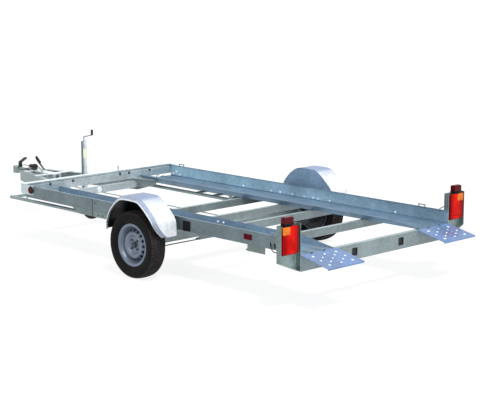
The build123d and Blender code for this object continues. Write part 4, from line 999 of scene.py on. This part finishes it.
class BuildTailLamps(bpy.types.Operator):
    """Tail lamps: black trays, red and amber lenses and a three-cornered reflector"""

    bl_idname = "trailer.build_tail_lamps"
    bl_label = "Build the tail lamps"

    def execute(self, context):
        c = colours()
        low, high = box_of("tail_lamps")
        inner, outer = box_of("wheel_track_left")[1][1] + LAMP_GAP, high[1]
        front, back = low[0], high[0]
        middle = np.array([(outer + inner) / 2, (low[2] + high[2]) / 2])
        half = np.array([(outer - inner) / 2, (high[2] - low[2]) / 2])
        rear = (-1.0, 0.0, 0.0)
        steps = [*TRAY_BACK_STEPS, *((back - front + rise, inset) for rise, inset in TRAY_FRONT_STEPS)]
        tray = cushion_block((back, *middle), rear, *half, LAMP_CORNER, steps)
        red = cushion_block((front, *middle), rear, *(half - LENS_MARGIN), LAMP_CORNER, RED_STEPS)
        amber_half = half * AMBER_SHARES
        amber_middle = outer - LENS_MARGIN - amber_half[0], high[2] - AMBER_DROP - amber_half[1]
        amber = cushion_block((front, *amber_middle), rear, *amber_half, AMBER_CORNER, AMBER_STEPS)
        reflector = self.triangle(middle + np.array(REFLECTOR_SHARES) * half, front)
        for name, part, material, slot in (
            ("trays", tray, plastic("lamp_tray", c.plastic), "black_plastic"),
            ("red", red, finish_named("lens_red"), "lens_red"),
            ("amber", amber, lens("lens_amber", c.lens_amber), "lens_red"),
            ("reflectors", reflector, lens("lens_reflector", c.lens_bright), "lens_red"),
        ):
            fixed_piece("tail_lamp_" + name, mirrored([part]), material, slot, "tail_lamps")
        return {"FINISHED"}

    @staticmethod
    def triangle(corners, front):
        """A three-cornered plate: corner arcs joined in order, on rows that step out to its face.

        An arc's points lie along the negative mix of the two sides' directions, brought to one length.
        """
        t = np.linspace(0, 1, 6)[:, None]
        rows = []
        for step, inset in REFLECTOR_STEPS:
            outline = []
            for k, corner in enumerate(corners):
                before, after = corners[k - 1] - corner, corners[(k + 1) % 3] - corner
                before, after = before / np.linalg.norm(before), after / np.linalg.norm(after)
                way = -(before * (1 - t) + after * t)
                way /= np.linalg.norm(way, axis=1)[:, None]
                centre = corner + (corners.mean(axis=0) - corner) * REFLECTOR_CORNER_SHARE
                outline.append(centre + way * (REFLECTOR_CORNER - inset))
            flat = np.concatenate(outline)
            rows.append(np.column_stack([np.full(len(flat), front + step), flat]))
        return surface(np.stack(rows), wrap_columns=True, caps=True)


# Bolts of the track: the ones in its crease as places along, then the front ones and the ones on the low
# flange as places along and heights over the tread. Their seats are distances in from the track's faces
CREASE_BOLTS = (0.128, -0.259, -0.38, -0.539, -0.695, -0.81, -0.874, -1.019, -1.802)
CREASE_BOLT_RISE = 0.016
FRONT_BOLTS = ((1.165, 0.018), (1.112, 0.042), (1.06, 0.018))
FLANGE_BOLTS, FLANGE_BOLT_WAY = ((-1.048, 0.024), (-1.116, 0.024)), (0, 0.82, 0.57)
TRACK_BOLT_SEAT, FLANGE_BOLT_SEAT = 0.003, 0.028
SMALL_BOLT_SHARES = (0.8, 0.7)  # radius and height over those of a full bolt

# Front crossbar: places across of its bolts and their drop under its top, and the stud with its place and
# rings as pairs of a radius and a height; the stud's last four rings are counted from its top
CROSSBAR_BOLTS, CROSSBAR_BOLT_DROP = (0.349, -0.234, -0.35, 0.62, -0.62), 0.035
STUD_INSET, STUD_ACROSS = 0.03, -0.235
STUD_FOOT = ((0.014, 0.0), (0.014, 0.006), (0.007, 0.006))
STUD_HEAD = ((0.007, -0.012), (0.011, -0.012), (0.011, -0.003), (0.006, 0.0))

# Lip studs: shares of the lip's length, distance from its middle, radius and height
LIP_STUD_SHARES, LIP_STUD_REACH, LIP_STUD = (0.2, 0.8), 0.13, (0.012, 0.003)

# Grommet in the front member: place across and height, and its rings as pairs of a radius and a height
GROMMET_PLACE = (0.0475, 0.3975)
GROMMET_RINGS = ((0.028, 0.0), (0.028, 0.004), (0.023, 0.007), (0.008, 0.0078))

# Side aprons: place along of the seam, its half width, corner and margins, and rivets as places and heights
SEAM_ALONG, SEAM_HALF, SEAM_CORNER, SEAM_TOP, SEAM_MARGIN = 0.187, 0.0035, 0.002, 0.004, 0.002
SEAM_STEPS = ((-0.001, 0.0), (0.0012, 0.0), (0.002, 0.0008))
APRON_RIVETS, APRON_RIVET = ((0.149, 0.502), (0.100, 0.402), (0.045, 0.402)), (0.009, 0.003)

# Overrun housing: place of the round cap on its side and the cap's radius and height, and the saddle bolts'
# distance in from the ends, place across and size
CAP_PLACE, CAP = (2.072, 0.048, 0.438), (0.013, 0.006)
SADDLE_INSET, SADDLE_ACROSS, SADDLE_BOLT = 0.06, 0.085, 0.012


class BuildFasteners(bpy.types.Operator):
    """Bolts, studs, rivets and seams on the tracks, crossbar, drawbar, aprons and lips"""

    bl_idname = "trailer.build_fasteners"
    bl_label = "Build the fasteners"

    def execute(self, context):
        self.track_bolts()
        self.crossbar()
        self.lip_studs()
        self.grommet()
        self.aprons()
        self.housing()
        return {"FINISHED"}

    @staticmethod
    def track_bolts():
        """Bolts in the crease and the front end of each track, and on its low flange."""
        s = sizes()
        low, high = box_of("wheel_track_left")
        tread, seat = low[2] + TRACK_SHEET, high[1] - TRACK_BOLT_SEAT
        small = s.bolt_radius * SMALL_BOLT_SHARES[0], s.bolt_height * SMALL_BOLT_SHARES[1]
        inward = (0, -1, 0)
        parts = bolts([(x, seat, tread + CREASE_BOLT_RISE) for x in CREASE_BOLTS], inward, *small)
        front = [(x, seat, tread + rise) for x, rise in FRONT_BOLTS]
        parts += bolts(front, inward, s.bolt_radius, s.bolt_height)
        flange = [(x, low[1] + FLANGE_BOLT_SEAT, tread + rise) for x, rise in FLANGE_BOLTS]
        parts += bolts(flange, FLANGE_BOLT_WAY, *small)
        # The bolts take a near-white painted highlight
        fixed_piece("track_bolts", mirrored(parts), finish_named("bolt_highlight_zinc"), "galvanised_steel")

    @staticmethod
    def crossbar():
        """Dark bolts on the rear face of the front crossbar, and a turned stud on its top."""
        s = sizes()
        low, high = box_of("front_crossbar")
        face = [(low[0], y, high[2] - CROSSBAR_BOLT_DROP) for y in CROSSBAR_BOLTS]
        made = bolts(face, (-1, 0, 0), s.bolt_radius, s.bolt_height)
        fixed_piece("crossbar_bolts", made, finish_named("hub_steel"), "hub_steel")
        rings = [*STUD_FOOT, *((radius, s.stud_height + height) for radius, height in STUD_HEAD)]
        stud = ring_stacks([(low[0] + STUD_INSET, STUD_ACROSS, high[2])], (0, 0, 1), rings, 18)
        # The stud takes the lighter zinc copy, which is painted light
        fixed_piece("crossbar_stud", [stud], finish_named("lit_zinc"), "galvanised_steel")

    @staticmethod
    def lip_studs():
        """Four pressed studs near the corners of each ramp lip."""
        low, high = box_of("ramp_lip_left")
        length, slope, middle = high[0] - low[0], lip_slope(), (low[1] + high[1]) / 2
        corners = [
            (high[0] - share * length, middle + side * LIP_STUD_REACH, high[2] - share * length * slope)
            for share in LIP_STUD_SHARES for side in (1, -1)
        ]
        studs = mirrored(domes(corners, (-slope, 0, 1), *LIP_STUD))
        # The studs take the bolts' near-white painted highlight
        fixed_piece("lip_studs", studs, finish_named("bolt_highlight_zinc"), "galvanised_steel")

    @staticmethod
    def grommet():
        """Round pale grommet on the rear face of the front member."""
        places = [(box_of("front_member")[0][0], *GROMMET_PLACE)]
        made = ring_stacks(places, (-1, 0, 0), GROMMET_RINGS, 28)
        # The grommet takes the bolts' near-white colour, a painted highlight
        fixed_piece("member_grommet", [made], finish_named("bolt_highlight_zinc"), "galvanised_steel")

    @staticmethod
    def aprons():
        """A dark upright seam and three rivets on the outer side of each apron."""
        dark, outward = finish_named("hub_steel"), (0, 1, 0)
        _, outer, top = box_of("wheel_track_left")[1]
        foot = box_of("side_aprons")[0][2]
        half = (top - SEAM_TOP - foot) / 2
        middle = (SEAM_ALONG, outer, foot + half)
        seam = cushion_block(middle, outward, SEAM_HALF, half - SEAM_MARGIN, SEAM_CORNER, SEAM_STEPS)
        fixed_piece("apron_seams", mirrored([seam]), dark, "hub_steel")
        rivets = domes([(x, outer, z) for x, z in APRON_RIVETS], outward, *APRON_RIVET)
        fixed_piece("apron_rivets", mirrored(rivets), dark, "hub_steel")

    @staticmethod
    def housing():
        """A round cap on the side of the overrun housing, and four bolts on its saddle."""
        low, high = box_of("overrun_housing")
        cap = domes([CAP_PLACE], (0, 1, 0), *CAP)
        fixed_piece("housing_cap", cap, finish_named("black_rubber"), "black_rubber")
        saddle = [
            (x, y, high[2])
            for x in (low[0] + SADDLE_INSET, high[0] - SADDLE_INSET) for y in (-SADDLE_ACROSS, SADDLE_ACROSS)
        ]
        made = bolts(saddle, (0, 0, 1), SADDLE_BOLT, SADDLE_BOLT)
        # The saddle bolts take the lighter zinc copy, which is painted light
        fixed_piece("housing_bolts", made, finish_named("lit_zinc"), "galvanised_steel")


# Lengths of the two cables behind each tail lamp and of the plug's cable
LAMP_CABLE_LOW, LAMP_CABLE_HIGH, PLUG_CABLE = 0.358, 0.311, 0.566

# Marker rings: radii over the marker's, with places across from the track's side and from the marker's face
RING_BACK, RING_FRONT = ((-0.001, 0.0), (0.006, 0.0)), ((0.006, -0.008), (0.003, -0.004), (-0.001, -0.004))


class BuildWiring(bpy.types.Operator):
    """Short cables behind the tail lamps and at the parked plug, and dark rings round the front markers"""

    bl_idname = "trailer.build_wiring"
    bl_label = "Build the wiring"

    def execute(self, context):
        sheath = finish_named("black_rubber")
        back, wall = box_of("lamp_carriers")[1][0], box_of("wheel_track_left")[1][1]
        lamp_routes = (
            ("low", LAMP_CABLE_LOW, [
                (back, 0.995, 0.520), (back + 0.020, 0.995, 0.520), (-2.262, 0.988, 0.512),
                (-2.205, 0.965, 0.455), (-2.160, 0.945, 0.418), (-2.105, 0.925, 0.418),
                (-2.066, 0.913, 0.450), (-2.058, wall, 0.482),
            ]),
            ("high", LAMP_CABLE_HIGH, [
                (back, 1.030, 0.560), (back + 0.022, 1.030, 0.560), (-2.262, 1.012, 0.552),
                (-2.200, 0.975, 0.505), (-2.160, 0.945, 0.458), (-2.118, 0.920, 0.452), (-2.100, wall, 0.480),
            ]),
        )
        for name, length, route in lamp_routes:
            for side, sign in SIDES:
                one_side = [(x, y * sign, z) for x, y, z in route]
                self.cable(f"lamp_cable_{name}_{side}", one_side, length, sheath)
        low, high = box_of("lighting_plug")
        y, z = (low[1] + high[1]) / 2, (low[2] + high[2]) / 2
        self.cable("plug_cable", [
            (high[0], y, z), (high[0] + 0.017, y, z), (2.480, 0.014, 0.497), (2.486, 0.084, 0.486),
            (2.435, 0.128, 0.472), (2.370, 0.124, 0.466), (2.310, 0.112, 0.480), (2.250, 0.100, 0.514),
            (2.150, 0.066, 0.532), (2.135, 0.038, 0.463),
        ], PLUG_CABLE, sheath)

        low, high = box_of("front_markers")
        radius = (high[0] - low[0]) / 2
        section = [(radius + over, wall + across) for over, across in RING_BACK]
        section += [(radius + over, high[1] + across) for over, across in RING_FRONT]
        rings = mirrored([turned((low + high) / 2, section, 48)])
        fixed_piece("marker_rings", rings, finish_named("black_plastic"), "black_plastic")
        return {"FINISHED"}

    @staticmethod
    def cable(name, route, length, material):
        """A cable that hangs between two points of the trailer: one smooth spline through its route."""
        diameter = sizes().cable_diameter
        curve = bpy.data.curves.new(name, "CURVE")
        curve.dimensions = "3D"
        curve.bevel_depth = diameter / 2
        curve.bevel_resolution = 3
        curve.resolution_u = 10
        curve.use_fill_caps = True
        spline = curve.splines.new("NURBS")
        spline.points.add(len(route) - 1)
        spline.points.foreach_set("co", np.column_stack([np.array(route), np.ones(len(route))]).ravel())
        spline.order_u = 3
        spline.use_endpoint_u = True
        curve.materials.append(material)
        made = bpy.data.objects.new(name, curve)
        bpy.context.scene.collection.objects.link(made)
        place(made, CHASSIS, "black_rubber")


# Mast label: its angles round the mast, steps round and up, drop under the mast's top, and how far its two
# faces lie over and under the mast's surface
LABEL_DEGREES, LABEL_STEPS = (128, 212), (16, 3)
LABEL_DROP, LABEL_FACES = 0.075, (0.0006, -0.0008)


class BuildMastLabel(bpy.types.Operator):
    """Blank label on the jockey wheel's mast"""

    bl_idname = "trailer.build_mast_label"
    bl_label = "Build the mast label"

    def execute(self, context):
        film = plastic("label_film", colours().label, 0.4)
        fixed_piece("mast_label", [self.film()], film, "black_plastic")
        return {"FINISHED"}

    @staticmethod
    def film():
        """Two part-cylinders about the mast, joined at their edges: angles run round and rows run up."""
        low, high = box_of("mast_tube")
        centre, radius = (low + high) / 2, (high[0] - low[0]) / 2
        around, up = LABEL_STEPS
        angle = np.linspace(*np.radians(LABEL_DEGREES), around)
        top = high[2] - LABEL_DROP
        z = np.broadcast_to(np.linspace(top - sizes().label_height, top, up)[:, None], (up, around))
        outer, inner = (
            np.stack([
                np.broadcast_to(centre[0] + (radius + over) * np.cos(angle), z.shape),
                np.broadcast_to(centre[1] + (radius + over) * np.sin(angle), z.shape), z,
            ], axis=-1)
            for over in LABEL_FACES
        )
        return surface(np.concatenate([outer, inner[:, ::-1]], axis=1), wrap_columns=True, caps=True)


# Camera of the photograph, in the part's frame
CAMERA_PLACE = (-9.7489, 8.5918, 2.7861)
CAMERA_FORWARD = (0.70854, -0.68195, -0.18145)
CAMERA_RIGHT = (-0.69366, -0.72030, -0.00155)
CAMERA_LENS_MM = 105.06
CAMERA_SENSOR_MM = 36.0
CAMERA_REACH = 200.0

# Lamps: the way to each, its strength and the angle that it spans in degrees
SUNS = {"key_sun": ((-0.8, 0.2, 1.3), 2.2, 14.0), "fill_sun": ((0.0, 1.0, 0.7), 0.6, 40.0)}

# Surroundings: half of the floor's side, colours and strengths for the light, and for what the camera sees
FLOOR_HALF = 40.0
FLOOR_COLOUR, FLOOR_SHADE, FLOOR_GLOW = (0.80, 0.80, 0.80, 1.0), (0.20, 0.20, 0.20, 1.0), 0.86
SKY_COLOUR, SKY_STRENGTH = (0.94, 0.97, 1.0, 1.0), 0.55
BACKDROP_COLOUR, BACKDROP_STRENGTH = (1.0, 1.0, 1.0, 1.0), 1.0


class BuildStage(bpy.types.Operator):
    """Pale floor, white surroundings, soft lamps and the photograph's camera"""

    bl_idname = "trailer.build_stage"
    bl_label = "Build the stage"

    def execute(self, context):
        scene = context.scene
        scene.view_settings.view_transform = "Standard"
        self.floor(scene)
        self.world(scene)
        for name, (way_to, energy, spread_degrees) in SUNS.items():
            self.lamp(scene, name, way_to, energy, spread_degrees)
        self.camera(scene)
        return {"FINISHED"}

    @staticmethod
    def white_for_eyes(tree, plain, white, target):
        """Shows white to the camera and in gloss and glass, and the plain shader to the rest."""
        path = tree.nodes.new("ShaderNodeLightPath")
        seen = path.outputs["Is Camera Ray"]
        for ray in ("Is Glossy Ray", "Is Transmission Ray"):
            either = tree.nodes.new("ShaderNodeMath")
            either.operation = "MAXIMUM"
            tree.links.new(seen, either.inputs[0])
            tree.links.new(path.outputs[ray], either.inputs[1])
            seen = either.outputs[0]
        mix = tree.nodes.new("ShaderNodeMixShader")
        tree.links.new(seen, mix.inputs["Fac"])
        tree.links.new(plain.outputs[0], mix.inputs[1])
        tree.links.new(white.outputs[0], mix.inputs[2])
        tree.links.new(mix.outputs[0], target.inputs["Surface"])

    def floor(self, scene):
        """A wide pale square that keeps the trailer's shadow."""
        half = FLOOR_HALF
        mesh = bpy.data.meshes.new("floor")
        corners = [(-half, -half, 0), (half, -half, 0), (half, half, 0), (-half, half, 0)]
        mesh.from_pydata(corners, [], [(0, 1, 2, 3)])
        floor = bpy.data.objects.new("floor", mesh)
        scene.collection.objects.link(floor)
        material = bpy.data.materials.new("pale_floor")
        material.use_nodes = True
        tree = material.node_tree
        plain = tree.nodes["Principled BSDF"]
        plain.inputs["Base Color"].default_value = FLOOR_COLOUR
        plain.inputs["Roughness"].default_value = 1.0
        plain.inputs["Specular IOR Level"].default_value = 0.0
        shade = tree.nodes.new("ShaderNodeBsdfDiffuse")
        shade.inputs["Color"].default_value = FLOOR_SHADE
        glow = tree.nodes.new("ShaderNodeEmission")
        glow.inputs["Strength"].default_value = FLOOR_GLOW
        white = tree.nodes.new("ShaderNodeAddShader")
        tree.links.new(shade.outputs[0], white.inputs[0])
        tree.links.new(glow.outputs[0], white.inputs[1])
        self.white_for_eyes(tree, plain, white, tree.nodes["Material Output"])
        mesh.materials.append(material)

    def world(self, scene):
        """A soft bluish light all round, and white behind the trailer."""
        world = bpy.data.worlds.new("white_room")
        world.use_nodes = True
        tree = world.node_tree
        plain, white = tree.nodes["Background"], tree.nodes.new("ShaderNodeBackground")
        plain.inputs["Color"].default_value = SKY_COLOUR
        plain.inputs["Strength"].default_value = SKY_STRENGTH
        white.inputs["Color"].default_value = BACKDROP_COLOUR
        white.inputs["Strength"].default_value = BACKDROP_STRENGTH
        self.white_for_eyes(tree, plain, white, tree.nodes["World Output"])
        scene.world = world

    @staticmethod
    def lamp(scene, name, way_to, energy, spread_degrees):
        """A far lamp, seen along a way from the trailer."""
        light = bpy.data.lights.new(name, "SUN")
        light.energy = energy
        light.angle = math.radians(spread_degrees)
        made = bpy.data.objects.new(name, light)
        made.rotation_mode = "QUATERNION"
        made.rotation_quaternion = Vector(way_to).to_track_quat("Z", "Y")
        scene.collection.objects.link(made)

    @staticmethod
    def camera(scene):
        """The camera, turned by its forward and right ways."""
        camera = bpy.data.cameras.new("photo_camera")
        camera.lens = CAMERA_LENS_MM
        camera.sensor_width = CAMERA_SENSOR_MM
        camera.clip_end = CAMERA_REACH
        made = bpy.data.objects.new("photo_camera", camera)
        scene.collection.objects.link(made)
        forward, right = Vector(CAMERA_FORWARD).normalized(), Vector(CAMERA_RIGHT).normalized()
        turn = Matrix((right, right.cross(forward), -forward)).transposed()
        made.matrix_world = Matrix.Translation(CAMERA_PLACE) @ turn.to_4x4()
        scene.camera = made


class TrailerPanel(bpy.types.Panel):
    """Lists the sizes, colours and builders"""

    bl_idname = "VIEW3D_PT_trailer"
    bl_label = "Car hauler trailer"
    bl_space_type = "VIEW_3D"
    bl_region_type = "UI"
    bl_category = "Trailer"

    def draw(self, context):
        for operator in OPERATORS:
            self.layout.operator(operator.bl_idname)
        for group in (context.scene.trailer_sizes, context.scene.trailer_colours):
            for name in group.__annotations__:
                self.layout.prop(group, name)


OPERATORS = (
    FinishFrame, BuildWiring, BuildTyres, BuildFenders, BuildGuards, BuildTailLamps, BuildFasteners,
    BuildMastLabel, BuildStage,
)
CLASSES = (TrailerSizes, TrailerColours, *OPERATORS, TrailerPanel)


def register():
    for made in CLASSES:
        bpy.utils.register_class(made)
    bpy.types.Scene.trailer_sizes = bpy.props.PointerProperty(type=TrailerSizes)
    bpy.types.Scene.trailer_colours = bpy.props.PointerProperty(type=TrailerColours)


def unregister():
    del bpy.types.Scene.trailer_colours
    del bpy.types.Scene.trailer_sizes
    for made in reversed(CLASSES):
        bpy.utils.unregister_class(made)


def main():
    register()
    bpy.ops.trailer.finish_frame()
    bpy.ops.trailer.build_wiring()
    bpy.ops.trailer.build_tyres()
    bpy.ops.trailer.build_fenders()
    bpy.ops.trailer.build_guards()
    bpy.ops.trailer.build_tail_lamps()
    bpy.ops.trailer.build_fasteners()
    bpy.ops.trailer.build_mast_label()
    bpy.ops.trailer.build_stage()


if __name__ == "__main__":
    main()
